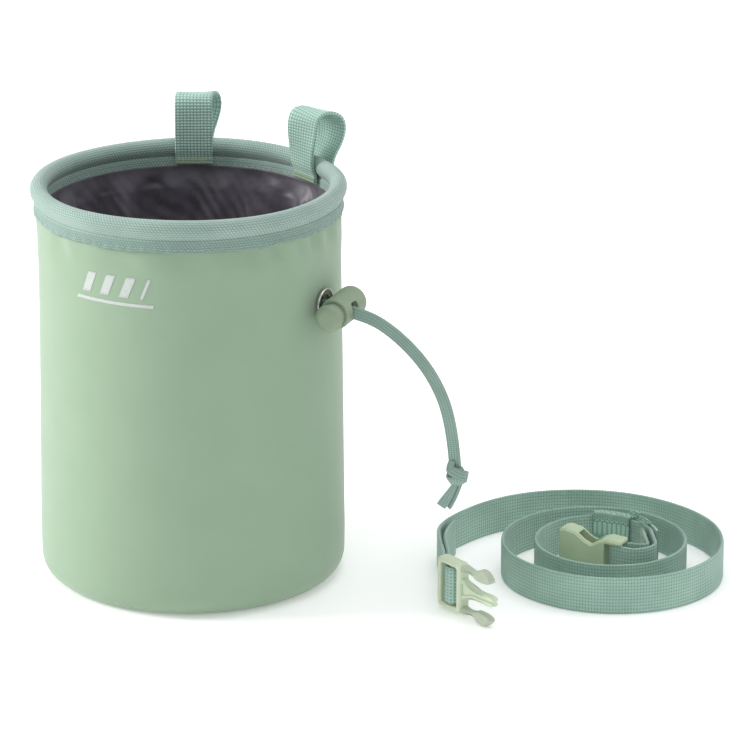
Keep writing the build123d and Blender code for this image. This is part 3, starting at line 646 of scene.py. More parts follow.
def inkPatch(name, corners, columns=24):
    """A thin patch of ink on the wall: corners are (across, up) in mm, left edge first, then right edge."""
    (x0, y0), (x1, y1), (x2, y2), (x3, y3) = corners
    s, t = np.meshgrid(np.linspace(0, 1, columns), np.linspace(0, 1, 6))
    x = (1 - t) * ((1 - s) * x0 + s * x3) + t * ((1 - s) * x1 + s * x2)
    y = (1 - t) * ((1 - s) * y0 + s * y3) + t * ((1 - s) * y1 + s * y2)
    theta = math.radians(mark["angle"]) + x / bag["shellTop"]
    z = mark["height"] + y
    radius = shellRadius(theta, z)

    def skin(lift):
        r = radius + lift
        return np.stack([r * np.cos(theta), r * np.sin(theta), z], -1) * mm

    top, under = skin(mark["lift"]), skin(mark["lift"] - mark["ink"])
    grid = np.concatenate([top, under[::-1]])
    ends = np.concatenate([grid[:, :1], grid, grid[:, -1:]], 1)
    return gridMesh(name, ends, None, closeU=True)


def buildMark():
    half, tall = mark["width"] / 2, mark["tall"] / 2
    patches = []
    for k in range(3):
        x = -half + 3.0 + k * 8.4
        patches.append(inkPatch("mark", [(x, -tall + 3.2), (x + 3.4, tall - 1.6), (x + 7.2, tall - 1.6),
                                         (x + 3.8, -tall + 3.2)]))
    patches.append(inkPatch("mark", [(-half, -tall), (-half + 0.3, -tall + 1.3), (half, -tall + 1.3),
                                     (half - 0.3, -tall)], 40))
    patches.append(inkPatch("mark", [(half - 5.6, -tall + 3.2), (half - 2.2, tall - 1.6), (half - 1.0, tall - 1.6),
                                     (half - 4.4, -tall + 3.2)]))
    mesh = joined(patches, "printedMark")
    addPiece("printedMark", outwards(mesh), "bag", printInk)


buildMark()


# ---- rim binding: roll, outer and inner flange ------------------------------------------------
rim = dict(around=420, outerDrop=9.0, innerDrop=8.0, groove=0.55)


def rimSection():
    """The tape's outside from the lower edge of the outer flange, up, over the roll and down inside,
    as (radius, height) points with the distance along the tape."""
    centre, r, high = bag["rimRadius"], bag["rollRadius"], bag["rollHeight"]
    outerX, innerX = bag["shellTop"] + 0.1 + bag["tape"], bag["shellTop"] - 2.5
    outerFoot, innerFoot = bag["seamTop"] - bag["flange"] - 0.4, bag["seamTop"] - bag["flange"] + 0.6
    up = np.linspace(outerFoot, bag["seamTop"] + 0.4, 14)
    left = np.stack([np.full(14, outerX), up], 1)
    start, stop = math.radians(-42), math.radians(222)
    angle = np.linspace(start, stop, 46)
    roll = np.stack([centre + r * np.cos(angle), high + r * np.sin(angle)], 1)
    down = np.linspace(bag["seamTop"] + 0.6, innerFoot, 12)
    right = np.stack([np.full(12, innerX), down], 1)
    edgeOut = np.array([[outerX - 0.75, outerFoot + 0.35], [outerX - 0.55, outerFoot - 0.02], [outerX - 0.15, outerFoot - 0.1]])
    edgeIn = np.array([[innerX + 0.15, innerFoot - 0.1], [innerX + 0.55, innerFoot - 0.02], [innerX + 0.75, innerFoot + 0.35]])
    line = np.concatenate([edgeOut, left, roll, right, edgeIn])
    line3, where = resample(np.c_[line, np.zeros(len(line))], 0.33)
    return line3[:, :2], where


def buildBinding():
    """The section carried round the rim, with a stitched groove under the roll and small waves in the flange."""
    line, where = rimSection()
    theta = np.linspace(0, 2 * math.pi, rim["around"], endpoint=False)
    across, _ = np.meshgrid(theta, where)
    radius = np.broadcast_to(line[:, :1], across.shape).copy()
    height = np.broadcast_to(line[:, 1:], across.shape).copy()
    outside = (radius > bag["rimRadius"]) & (height < bag["seamTop"] + 0.4)
    low = np.clip(bag["seamTop"] - height, 0, None)
    ripple = 0.16 * np.sin(across * 74 + 0.6 * np.sin(across * 5)) * smoothStep(1.0, 4.6, low)
    slow = 0.14 * np.sin(9 * across + 1) * smoothStep(0, 4, low)
    radius += np.where(outside, ripple + slow, 0.5 * ripple)
    height += np.where(outside, 0.22 * np.sin(13 * across) + 0.15 * np.sin(29 * across + 2), 0) * smoothStep(1, 4.5, low)
    seam = np.exp(-((height - bag["seamTop"] - 0.1) / 0.55) ** 2) * (low < 1.2)
    radius += np.where(radius > bag["rimRadius"], -rim["groove"], rim["groove"] * 0.9) * seam
    height += 0.18 * np.sin(4 * across + 0.4) * smoothStep(bag["seamTop"], bag["rollHeight"], height)
    points = np.stack([radius * np.cos(across), radius * np.sin(across), height], -1)
    normal = np.cross(np.roll(points, -1, 1) - np.roll(points, 1, 1), np.gradient(points, axis=0))
    inner = points - 0.7 * unit(normal) * np.sign((unit(normal) * (points - [0, 0, bag["rollHeight"]])).sum(-1, keepdims=True).mean())
    turn = np.append(theta, 2 * math.pi)
    grid = np.concatenate([points, inner[::-1]]) * mm
    lengths = np.concatenate([where, where[::-1], where[:1]])
    uv = np.stack(np.broadcast_arrays((turn * bag["rimRadius"])[None] * mm, lengths[:, None] * mm), -1)
    mesh = gridMesh("rimBinding", grid, uv, closeU=True, closeV=True)
    return addPiece("rimBinding", outwards(mesh), "bag", bindingCloth, ("rim_binding",))


buildBinding()


def stitchMesh(name, starts, ends, lift, radius=0.13):
    """Short stitches, each a bowed spindle of six sides from its start to its end."""
    count, rings, sides = len(starts), 5, 6
    t = np.linspace(0, 1, rings)
    bow = np.sin(t * math.pi)
    line = starts[:, None] * (1 - t)[:, None] + ends[:, None] * t[:, None] + lift[:, None] * (bow[:, None] - 0.35)
    run = unit(ends - starts)
    side = unit(np.cross(run, lift))
    up = np.cross(side, run)
    angle = np.arange(sides) * 2 * math.pi / sides
    girth = radius * mm * (0.25 + 0.75 * bow)
    ring = side[:, None, None] * np.cos(angle)[:, None] + up[:, None, None] * np.sin(angle)[:, None]
    points = line[:, :, None] + ring * girth[:, None, None]
    points = points.reshape(-1, 3)
    index = np.arange(count * rings * sides).reshape(count, rings, sides)
    a, b = index[:, :-1], index[:, 1:]
    quads = np.stack([a, np.roll(a, -1, 2), np.roll(b, -1, 2), b], -1).reshape(-1, 4)
    caps = np.concatenate([index[:, 0, ::-1], index[:, -1]]).reshape(-1, sides)
    mesh = bpy.data.meshes.new(name)
    mesh.from_pydata(points.tolist(), [], quads.tolist() + caps.tolist())
    mesh.polygons.foreach_set("use_smooth", np.ones(len(mesh.polygons), bool))
    layer = mesh.uv_layers.new(name="cloth")
    corner = np.zeros(len(mesh.loops), np.int32)
    mesh.loops.foreach_get("vertex_index", corner)
    ringOf = (corner // sides) % rings
    layer.data.foreach_set("uv", np.stack([ringOf * 0.4 * mm, (corner % sides) / sides], 1).astype(np.float32).ravel())
    return outwards(mesh)


stitching = dict(pitch=2.5, length=1.7)


def seamStitches():
    """Two lock-stitched rows round the rim: one outside on the flange, one inside."""
    rows = []
    for radius, height in ((bag["shellTop"] + 1.1 + 0.05, bag["seamTop"] - 3.4), (bag["shellTop"] - 2.5 - 0.05, bag["seamTop"] - 2.6)):
        count = int(2 * math.pi * radius / stitching["pitch"])
        theta = np.arange(count) * 2 * math.pi / count
        half = stitching["length"] / 2 / radius
        sign = 1 if radius > bag["rimRadius"] else -1

        def at(angle, dz):
            return np.stack([radius * np.cos(angle), radius * np.sin(angle), np.full(count, height + dz)], 1) * mm

        out = np.stack([np.cos(theta), np.sin(theta), np.zeros(count)], 1) * sign * 0.16 * mm
        rows.append(stitchMesh("stitch", at(theta - half, -0.12), at(theta + half, 0.12), out))
    addPiece("rimStitches", joined(rows, "rimStitches"), "bag", seamThread)


seamStitches()
print("rim")


# ---- lining: gathered collar, cord casing and pocket ------------------------------------------
gather = dict(flat=(0.35, 0.032), around=720, topRadius=55.6, top=147.9, casingRadius=51.5, casing=119.6)


def gatherWave(theta, share):
    """Folds that start narrow at the seam and merge into fewer, deeper ones towards the casing."""
    fine = np.sin(27 * theta + 2.2 * np.sin(3 * theta) + 1.5 * share)
    mid = np.sin(17 * theta + 1.7 * np.sin(2 * theta + 1) - 2.0 * share)
    wide = np.sin(9 * theta + 1.2 * np.sin(4 * theta + 2) + 1.2 * share)
    return (0.25 * fine * (1 - 0.6 * share) + 0.95 * mid * share ** 0.5 + 1.5 * wide * share ** 0.7)


def buildCollar():
    """Cloth from the rim seam down to the casing, drawn in and folded: radius falls along a sagging line."""
    theta = np.linspace(0, 2 * math.pi, gather["around"], endpoint=False)
    t = np.linspace(0, 1, 64)
    across, share = np.meshgrid(theta, t)
    wave = gatherWave(across, share)
    sag = np.sin(share * math.pi)
    radius = gather["topRadius"] - (gather["topRadius"] - gather["casingRadius"] + 0.5) * share ** 1.3 + 0.8 * sag
    edge = smoothStep(0.0, 0.30, share)
    pleat = 0.5 * np.abs(np.sin(23 * across + 3 * np.sin(2 * across)))
    radius += edge * (1.55 * wave - 1.3) - 0.35 * pleat * (1 - share) * edge
    height = gather["top"] - (gather["top"] - gather["casing"]) * share + 0.7 * edge * (1 - share) * np.sin(19 * across)
    crease = 0.35 * np.sin(50 * across + 25 * share + 4 * np.sin(7 * across)) * sag
    limit = 54.7 + 1.4 * smoothStep(shell["foam"], shell["foam"] + 3, height)
    radius = limit - 0.5 * np.log1p(np.exp((limit - radius - crease * 0.4) / 0.5))
    points = np.stack([radius * np.cos(across), radius * np.sin(across), height], -1)
    back = points.copy()
    back[..., :2] *= (1 + 0.35 / np.linalg.norm(points[..., :2], axis=-1, keepdims=True))
    grid = np.concatenate([points, back[::-1]]) * mm
    mesh = gridMesh("liningCollar", grid, None, closeU=True, closeV=True)
    piece = addPiece("liningCollar", outwards(mesh), "bag", liningCloth, ("lining_collar",))


buildCollar()


def buildCasing():
    """The tunnel that the cord runs in: a soft ring whose section swells and pinches with the gathers."""
    theta = np.linspace(0, 2 * math.pi, 600, endpoint=False)
    angle = np.linspace(0, 2 * math.pi, 26, endpoint=False)
    across, ring = np.meshgrid(theta, angle)
    wave = np.sin(43 * across + 2 * np.sin(3 * across))
    wide, tall = 1.75 + 0.22 * wave, 3.6 + 0.35 * wave
    radius = gather["casingRadius"] + 0.35 * np.sin(9 * across) + wide * np.cos(ring)
    height = 116.0 + 0.5 * np.sin(9 * across + 1) + tall * np.sin(ring)
    points = np.stack([radius * np.cos(across), radius * np.sin(across), height], -1) * mm
    mesh = gridMesh("cordCasing", points, None, closeU=True, closeV=True)
    return addPiece("cordCasing", outwards(mesh), "bag", liningCloth, ("cord_casing",))


buildCasing()


def buildPocket():
    """The chalk pocket: gathered at the casing, falling slack to a rounded floor with a few soft folds."""
    theta = np.linspace(0, 2 * math.pi, 480, endpoint=False)
    top, floor, bend = 112.6, 2.7, 12.0
    wall = top - floor - bend
    total = wall + bend * math.pi / 2 + 40.8
    s = np.linspace(0, total, 110)
    across, down = np.meshgrid(theta, s)
    share = np.clip(down / wall, 0, 1)
    angle = np.clip((down - wall) / bend, 0, math.pi / 2)
    flat = np.clip(down - wall - bend * math.pi / 2, 0, None)
    fold = 0.5 * np.sin(21 * across + 2 * np.sin(3 * across)) * (1 - smoothStep(0, 0.35, share)) \
        + 0.45 * np.sin(6 * across + 3 * share) * np.sin(share * math.pi)
    side = gather["casingRadius"] + 1.3 * smoothStep(0, 0.12, share) + fold
    radius = np.where(angle > 0, side - bend + bend * np.cos(angle) - flat, side)
    radius = np.maximum(radius, 0.02)
    height = np.where(angle > 0, floor + bend - bend * np.sin(angle) + 0.2 * np.sin(5 * across + flat / 4) * (flat > 1), top - down)
    height += 0.25 * (flat > 1)
    points = np.stack([radius * np.cos(across), radius * np.sin(across), height], -1)
    back = points.copy()
    back[..., 2] -= np.where(angle > 0, 0.35, 0) * np.sin(angle)
    back[..., :2] *= 1 + 0.35 * np.cos(angle)[..., None] / np.maximum(radius, 1)[..., None]
    grid = np.concatenate([points, back[::-1]]) * mm
    mesh = gridMesh("innerPocket", grid, None, closeU=True, closeV=True)
    piece = addPiece("innerPocket", outwards(mesh), "bag", pocketCloth, ("inner_pocket",))


buildPocket()
print("lining")


# ---- webbing ----------------------------------------------------------------------------------
webbing = {"loop": dict(width=15.0, thick=1.5, columns=10, perColumn=5, row=1.15, relief=0.26, chevron=0.30, edge=0.16),
           "belt": dict(width=15.0, thick=1.5, columns=10, perColumn=2, row=1.15, relief=0.04, chevron=0.0, edge=0.10)}


def webbingSection(key):
    """Both faces with rows of floats: height is a sine over each row, times a softer sine over each column,
    the row shifted across a column as a chevron; the edges swell at every row."""
    row = webbing[key]
    wide, deep = row["width"] * mm, row["thick"] * mm
    n = row["columns"] * row["perColumn"] + 1
    t = np.linspace(0, 1, n)
    half = wide / 2 - 0.15 * mm
    flat = np.linspace(-half + 0.45 * deep, half - 0.45 * deep, n)
    angle = np.linspace(-math.pi / 2, math.pi / 2, 7)[1:-1]
    side = np.stack([half - 0.45 * deep + 0.45 * deep * np.cos(angle), -0.45 * deep * np.sin(angle)], 1)
    core = deep / 2 - row["relief"] * mm
    first = np.concatenate([flat, side[:, 0], flat[::-1], -side[:, 0]])
    base = np.concatenate([np.full(n, core), side[:, 1], np.full(n, -core), -side[:, 1]])
    sign = np.concatenate([np.ones(n), np.zeros(5), -np.ones(n), np.zeros(5)])
    share = np.concatenate([t, np.ones(5), t[::-1], np.zeros(5)])
    edge = np.concatenate([np.zeros(n), np.ones(5), np.zeros(n), -np.ones(5)])
    turn = np.concatenate([t * wide, wide + 0.0004 * np.arange(1, 6), wide * (1 - t), -0.0004 * np.arange(1, 6)])

    def section(along):
        column = (share * row["columns"]) % 1.0
        phase = along[:, None] / (row["row"] * mm) + row["chevron"] * np.abs(2 * column - 1)
        rise = np.sin(math.pi * (phase % 1.0)) ** 0.7
        lift = sign * row["relief"] * mm * rise * (0.55 + 0.45 * np.sin(math.pi * column) ** 0.6)
        swell = edge * row["edge"] * mm * rise
        return first + swell, base + lift, np.append(turn, 0.0)[None]

    return section


loops = dict(turn=27.5, route=[(54.30, 149.0), (54.30, 150.4), (54.10, 152.4), (52.60, 155.0), (52.30, 160.5), (52.55, 167.0),
                               (53.40, 174.9), (57.60, 176.6), (62.50, 175.6), (66.10, 172.0), (65.90, 165.0),
                               (63.10, 158.8), (61.85, 154.8), (61.00, 150.5), (60.60, 146.8), (60.55, 143.9)])


def buildLoop(name, node, angle, skew, twist):
    """One loop: webbing along a listed route over the rim. Above the rim its back leg moves sideways by
    skew and the whole ribbon turns by twist, both eased in with height."""
    turn = math.radians(angle)
    out = np.array([math.cos(turn), math.sin(turn), 0])
    side = np.array([math.sin(turn), -math.cos(turn), 0])
    route = [out * r * mm + np.array([0, 0, z * mm]) for r, z in loops["route"]]
    line, along = resample(nurbsLine(route), 0.23 * mm)
    rise = smoothStep(157 * mm, 172 * mm, line[:, 2])
    late = smoothStep(0.40, 0.62, along / along[-1])
    line = line + side * (skew * mm * rise * late)[:, None]
    spin = np.radians(twist) * rise
    across = side * np.cos(spin)[:, None] + out * np.sin(spin)[:, None]
    mesh = sweptMesh(name, line, across, webbingSection("loop"))
    addPiece(name, outwards(mesh), "bag", webbingCloth, (node,))


def zigzag(origin, along, up, out, length, height, count):
    """The starts and ends of a zigzag bar tack: straight stitches that go up and down in turn."""
    x = (np.arange(count + 1) / count - 0.5) * length
    y = np.where(np.arange(count + 1) % 2 == 0, -height / 2, height / 2)
    spot = origin + along * x[:, None] + up * y[:, None]
    return spot[:-1], spot[1:], np.repeat(out[None] * 0.28 * mm, count, 0)


def buildLoopTacks():
    """Bar tacks across each loop's feet, inside and outside the rim."""
    parts = []
    up = np.array([0, 0, 1.0])
    for sign in (1, -1):
        turn = math.radians(90 + sign * loops["turn"])
        out = np.array([math.cos(turn), math.sin(turn), 0])
        side = np.array([math.sin(turn), -math.cos(turn), 0])
        for radius, z, face in ((53.35, 150.3, -1), (61.45, 145.4, 1)):
            origin = out * radius * mm + up * z * mm
            for shift in (-0.55, 0.55):
                starts, ends, lift = zigzag(origin + up * shift * mm, side, up, out * face, 14.2 * mm, 1.5 * mm, 34)
                parts.append(stitchMesh("tack", starts, ends, lift, 0.20))
    addPiece("loopBartacks", joined(parts, "loopBartacks"), "bag", bartackThread, ("loop_bartacks",))


buildLoop("beltLoopLeft", "belt_loop_left", 90 + loops["turn"], 3.4, 3.0)
buildLoop("beltLoopRight", "belt_loop_right", 90 - loops["turn"], 0.6, 16.0)
buildLoopTacks()
print("loops")


# belt webbing: one run from the sewn return round the coil to the loose tail, set down along a given route
belt = dict(place=(141.2, 65.4), turn=30.0, length=0.766)
beltRoute = [(21.4, 3.0, 9.1), (21.4, -10.5, 10.2), (21.4, -20.4, 11.2), (13.6, -18.0, 11.2), (8.85, -15.25, 11.2),
             (6.25, -19.75, 11.2), (10.75, -22.35, 11.2), (16.2, -25.4, 11.2), (24.5, -20.6, 11.2),
             (24.5, -8.0, 10.0), (24.5, 6.4, 9.1), (11.15, 19.75, 9.1), (-7.65, 19.75, 8.3), (-21.0, 6.4, 7.6),
             (-21.0, -15.1, 7.5), (-3.85, -32.25, 7.5), (20.35, -32.25, 7.5), (37.5, -15.1, 7.5),
             (37.5, 11.8, 7.5), (16.55, 32.75, 7.5), (-13.05, 32.75, 7.5), (-34.0, 11.8, 7.5),
             (-34.0, -20.8, 7.5), (-8.8, -46.0, 7.5), (26.8, -46.0, 7.5), (52.0, -20.8, 7.5),
             (52.0, 19.9, 7.5), (19.6, 52.25, 7.5), (-26.1, 52.25, 7.5), (-58.5, 19.9, 7.5),
             (-58.5, -3.0, 7.6), (-58.5, -22.0, 11.2), (-58.5, -29.58, 11.2), (-55.29, -34.17, 11.2),
             (-59.22, -39.36, 11.2), (-56.24, -43.62, 11.2), (-51.73, -40.47, 11.2), (-53.70, -33.30, 11.2),
             (-56.7, -29.01, 11.2), (-56.7, -21.5, 10.9), (-56.7, 8.85, 7.5), (-51.69, 19.59, 7.5)]


def beltWorld(points):
    """Points given in the coil's own (p, q, z) in mm, as points of the frame in metres."""
    points = np.asarray(points, float)
    a = math.radians(belt["turn"])
    x = belt["place"][0] + points[..., 0] * math.cos(a) - points[..., 1] * math.sin(a)
    y = belt["place"][1] + points[..., 0] * math.sin(a) + points[..., 1] * math.cos(a)
    return np.stack([x, y, points[..., 2]], -1) * mm


def buildBelt():
    """Ribbon stood on its edge: the web's width goes up, its faces carry rows of small floats."""
    line, along = resample(nurbsLine(beltWorld(beltRoute), 32), 0.385 * mm)
    across = np.repeat([[0, 0, 1.0]], len(line), 0)
    mesh = sweptMesh("beltWebbing", line, across, webbingSection("belt"))
    piece = addPiece("beltWebbing", outwards(mesh), "belt", beltCloth, ("belt_webbing",))
    return line


beltLine = buildBelt()
print("belt")

# drawcord: two flat braids lying face to face, hanging from the lock in a quarter turn
cord = dict(width=4.9, thick=1.25, length=0.0915,
            route=[(56.94, 0, 116.0), (75.94, 0, 116.0), (92.4, 0, 108.0), (105.9, 0, 95.0), (113.6, 0, 77.7),
                   (115.04, 0, 60.5)])


def flatSection(width, thick, sides=28, power=3.5):
    """A flat braid's section: a superellipse, so its faces are flat and its edges round."""
    angle = np.arange(sides) * 2 * math.pi / sides
    x, y = np.cos(angle), np.sin(angle)
    first = np.sign(x) * np.abs(x) ** (2 / power) * width / 2 * mm
    second = np.sign(y) * np.abs(y) ** (2 / power) * thick / 2 * mm
    ring = np.stack([first, second], 1)
    step = np.linalg.norm(np.diff(np.concatenate([ring, ring[:1]]), axis=0), axis=1)
    turn = np.concatenate([[0], np.cumsum(step)])

    def section(along):
        return np.repeat(first[None], len(along), 0), np.repeat(second[None], len(along), 0), turn[None]

    return section


def braidAlong(name, line, across, width, thick, pinch=0.0):
    """A flat braid along a line; pinch narrows it at its start and lets it open out again."""
    whole = flatSection(width, thick)

    def section(along):
        first, second, turn = whole(along)
        narrow = 1 - pinch * (1 - smoothStep(0, 0.85, along / along[-1]))[:, None]
        return first * narrow, second * (2 - narrow), turn

    return sweptMesh(name, line, across, section)


def buildCord():
    """Both braids follow the same line, one a little to each side of it, the rear one slipped outwards."""
    line, along = resample(nurbsLine([np.array(p) * mm for p in cord["route"]], 32), 0.35 * mm)
    tangent = unit(np.gradient(line, axis=0))
    across = np.cross(tangent, [0, 1.0, 0])
    eased = smoothStep(0, 0.03, along)[:, None]
    front = line + np.array([0, -0.66, 0]) * mm
    rear = line + np.array([0, 0.66, 0]) * mm - across * 0.55 * mm * eased
    mesh = joined([braidAlong("front", front, across, cord["width"], cord["thick"]),
                   braidAlong("rear", rear, across, cord["width"], cord["thick"])], "drawcordTail")
    piece = addPiece("drawcordTail", outwards(mesh), "bag", cordCloth, ("drawcord_tail",))
    knot = buildKnot()


def buildKnot():
    """An overhand knot: one braid wound on a slant round a core, and the two cut ends hanging out of it."""
    cx, top = 116.0, 61.5
    wound = [(-2.2, -0.8, 1.0), (-2.6, -2.6, -1.6), (0.4, -3.1, -2.6), (3.0, -2.6, -3.7), (3.5, 0.0, -4.4),
             (2.4, 2.5, -5.2), (-0.6, 2.9, -5.6), (-3.1, 2.0, -5.4), (-3.4, -0.6, -5.9), (-2.2, -2.7, -6.4),
             (0.8, -2.9, -5.8), (2.9, -1.4, -6.6), (1.6, 0.6, -7.4)]
    line, _ = resample(nurbsLine([np.array([cx + x, y, top + z]) * mm for x, y, z in wound], 24), 0.25 * mm)
    middle = np.array([cx, 0, top - 4.2]) * mm
    around = unit(line - middle)
    tangent = unit(np.gradient(line, axis=0))
    across = np.cross(tangent, around)
    parts = [braidAlong("wrap", line, across, 4.0, 1.4)]
    v, u = np.meshgrid(np.linspace(-1.45, 1.45, 14), np.linspace(0, 2 * math.pi, 28, endpoint=False))
    core = np.stack([2.9 * np.cos(u) * np.cos(v), 2.4 * np.sin(u) * np.cos(v), 3.9 * np.sin(v)], -1) * mm + middle
    turn = np.append(np.linspace(0, 2 * math.pi, 28, endpoint=False), 2 * math.pi)
    uv = np.stack(np.broadcast_arrays(turn[:, None] * 2.6 * mm, np.linspace(0, 11, 14)[None] * mm), -1)
    parts.append(gridMesh("core", core, uv, closeU=True))
    for start, end, back in (((-0.3, -0.9, -7.0), (-6.4, -1.3, -17.6), 0), ((0.9, 0.4, -7.0), (-4.5, 0.5, -17.9), 1)):
        mid = np.array(start) * 0.5 + np.array(end) * 0.5 + np.array([0.7, 0, 0.2])
        points = [np.array([cx, 0, top]) + p for p in (np.array(start), mid, np.array(end))]
        tail, _ = resample(nurbsLine([p * mm for p in points], 16), 0.3 * mm)
        flat = np.repeat([[0.92, -0.38 if back else 0.25, 0]], len(tail), 0)
        parts.append(braidAlong("end", tail, flat, 3.9, 1.1, 0.42))
    mesh = joined(parts, "drawcordKnot")
    return addPiece("drawcordKnot", outwards(mesh), "bag", cordCloth, ("drawcord_knot",))


buildCord()
print("drawcord and knot")


# spring inside the lock, built at one length; the real one shortens as the button goes in
spring = dict(cord=(66.44, 0, 116.0), tilt=6.0, start=4.4, stop=9.2, radius=3.55, wire=0.32, turns=3.5, keep=0.45)


def buildSpring():
    """A helix round the lock's own axis: turns times a full circle while the height goes from start to stop."""
    axis = np.array([0, math.cos(math.radians(spring["tilt"])), math.sin(math.radians(spring["tilt"]))])
    up = np.cross(axis, [1.0, 0, 0])
    t = np.linspace(0, 1, 150)
    angle = t * spring["turns"] * 2 * math.pi
    high = spring["start"] + (spring["stop"] - spring["start"]) * t
    ring = np.array([1.0, 0, 0]) * np.cos(angle)[:, None] + up * np.sin(angle)[:, None]
    line = (np.array(spring["cord"]) + axis * high[:, None] + spring["radius"] * ring) * mm
    around = flatSection(spring["wire"] * 2, spring["wire"] * 2, 10, 2.0)
    mesh = sweptMesh("lockSpring", line, ring, around)
    piece = addPiece("lockSpring", outwards(mesh), "cord_lock", springSteel, ("cord_lock_spring",))
    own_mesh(piece)


buildSpring()


# keeper: a doubled elastic sleeve round the inner turn, with its sewn tuft, and the strap's frayed end
keeper = dict(middle=(1.75, -3.0), radius=22.75, start=43.5, stop=85.0, deep=5.5, tall=17.2, wall=1.05, centre=9.1)


def buildKeeper():
    """A rounded rectangle carried along the turn, doubled into two soft folds, with its two mouths turned in."""
    angle = np.radians(np.linspace(keeper["start"], keeper["stop"], 60))
    ring = np.arange(96) * 2 * math.pi / 96
    x, y = np.cos(ring), np.sin(ring)
    first = np.sign(x) * np.abs(x) ** 0.42 * keeper["deep"] / 2
    second = np.sign(y) * np.abs(y) ** 0.22 * keeper["tall"] / 2
    share = np.linspace(0, 1, 60)[:, None]
    fold = 0.55 * np.exp(-((second - 0.6 - 0.5 * np.sin(share * 5)) / 0.55) ** 2) * (np.abs(first) > 1.5)
    puff = 0.25 * np.sin(share * math.pi) + 0.12 * np.sin(share * 17 + second * 0.7)

    def skin(inset):
        out = first * (1 - inset * 2 / keeper["deep"]) + np.sign(first) * (puff - fold) * (1 if inset == 0 else 0.4)
        up = np.broadcast_to(second * (1 - inset * 2 / keeper["tall"]), out.shape)
        reach = keeper["radius"] + out
        p = keeper["middle"][0] + reach * np.cos(angle)[:, None]
        q = keeper["middle"][1] + reach * np.sin(angle)[:, None]
        return beltWorld(np.stack([p, q, keeper["centre"] + up + 0.1 * np.sin(share * 9)], -1))

    outer, inner = skin(0.0), skin(keeper["wall"])
    grid = np.concatenate([outer, inner[::-1]])
    length = keeper["radius"] * np.radians(np.linspace(0, keeper["stop"] - keeper["start"], 60))
    lengths = np.concatenate([length, length[::-1], length[:1]]) * mm
    turn = np.linspace(0, 2 * (keeper["deep"] + keeper["tall"]), 97) * mm
    uv = np.stack(np.broadcast_arrays(lengths[:, None], turn[None]), -1)
    mesh = gridMesh("beltKeeper", grid, uv, closeU=True, closeV=True)
    return addPiece("beltKeeper", outwards(mesh), "belt", keeperCloth, ("belt_keeper",))


def buildTuft():
    """The sewn ends beside the keeper: a few short folded strips that bunch together, and loose yarns."""
    parts = []
    folds = [((18.6, 15.2, 15.8), (20.6, 13.6, 17.3), (22.4, 10.6, 15.6)), ((20.0, 14.4, 15.0), (22.0, 12.4, 16.6), (24.0, 9.4, 14.6)),
             ((17.6, 15.4, 16.6), (19.2, 14.8, 18.4), (20.8, 13.2, 17.4)), ((21.4, 11.6, 16.4), (23.0, 9.2, 17.2), (24.2, 6.8, 15.8))]
    for points in folds:
        line, _ = resample(nurbsLine(list(beltWorld(points)), 16), 0.3 * mm)
        across = np.repeat([[0.25, 0.35, 0.9]], len(line), 0)
        parts.append(braidAlong("tuft", line, across, 3.2, 1.3))
    yarn = np.random.default_rng(5)
    for k in range(22):
        base = np.array([19.5 + 2.2 * yarn.random(), -0.5 + 3.6 * yarn.random(), 18.6 + 0.4 * yarn.random()])
        tip = base + np.array([1.2, 0.8, 1.0]) * (yarn.random(3) - 0.35) * 1.7
        bend = (base + tip) / 2 + (yarn.random(3) - 0.5) * 0.6
        line, _ = resample(nurbsLine(list(beltWorld([base, bend, tip])), 8), 0.25 * mm)
        across = np.repeat([[0.6, 0.6, 0.3]], len(line), 0)
        parts.append(sweptMesh("yarn", line, across, flatSection(0.30, 0.30, 6, 2.0)))
    mesh = joined(parts, "beltTuft")
    addPiece("beltTuft", outwards(mesh), "belt", keeperCloth)
    tab, _ = resample(nurbsLine(list(beltWorld([(15.4, 17.6, 9.6), (20.6, 14.8, 9.4), (24.4, 9.6, 9.3), (26.6, 3.6, 9.1),
                                                (27.0, 0.4, 9.0)])), 24), 0.23 * mm)
    mesh = sweptMesh("beltTab", tab, np.repeat([[0, 0, 1.0]], len(tab), 0), webbingSection("loop"))
    addPiece("beltTab", outwards(mesh), "belt", webbingCloth)


def buildBeltTacks():
    """Bar tacks over the sewn return by the female buckle: two zigzags on its inner face."""
    along, up = beltWorld([(0, 1, 0)])[0] - beltWorld([(0, 0, 0)])[0], np.array([0, 0, 1.0])
    out = unit(beltWorld([(-1, 0, 0)])[0] - beltWorld([(0, 0, 0)])[0])
    parts = []
    for height in (-4.6, 4.6):
        origin = beltWorld([(20.62, 0.0, 18.7 / 2 + 1.3 + height)])[0]
        starts, ends, lift = zigzag(origin, unit(along), up, out, 7 * mm, 2.2 * mm, 20)
        parts.append(stitchMesh("tack", starts, ends, lift, 0.18))
    addPiece("beltBartacks", joined(parts, "beltBartacks"), "belt", bartackThread, ("belt_bartacks",))


buildKeeper()
buildTuft()
buildBeltTacks()
print("keeper and tuft")


# male buckle half: frame with a bar, two leaf-headed arms and the guide between them
buckle = dict(bar=(113.05, 2.96), heading=-25.0, middle=11.2, webHalf=7.8)


def buckleWorld(ahead, up, out):
    """Points along the buckle's axis, up from its middle and out of its face, as points of the frame."""
    a = math.radians(buckle["heading"])
    x = buckle["bar"][0] + ahead * math.cos(a) + out * math.sin(a)
    y = buckle["bar"][1] + ahead * math.sin(a) - out * math.cos(a)
    return np.stack(np.broadcast_arrays(x, y, buckle["middle"] + up), -1) * mm


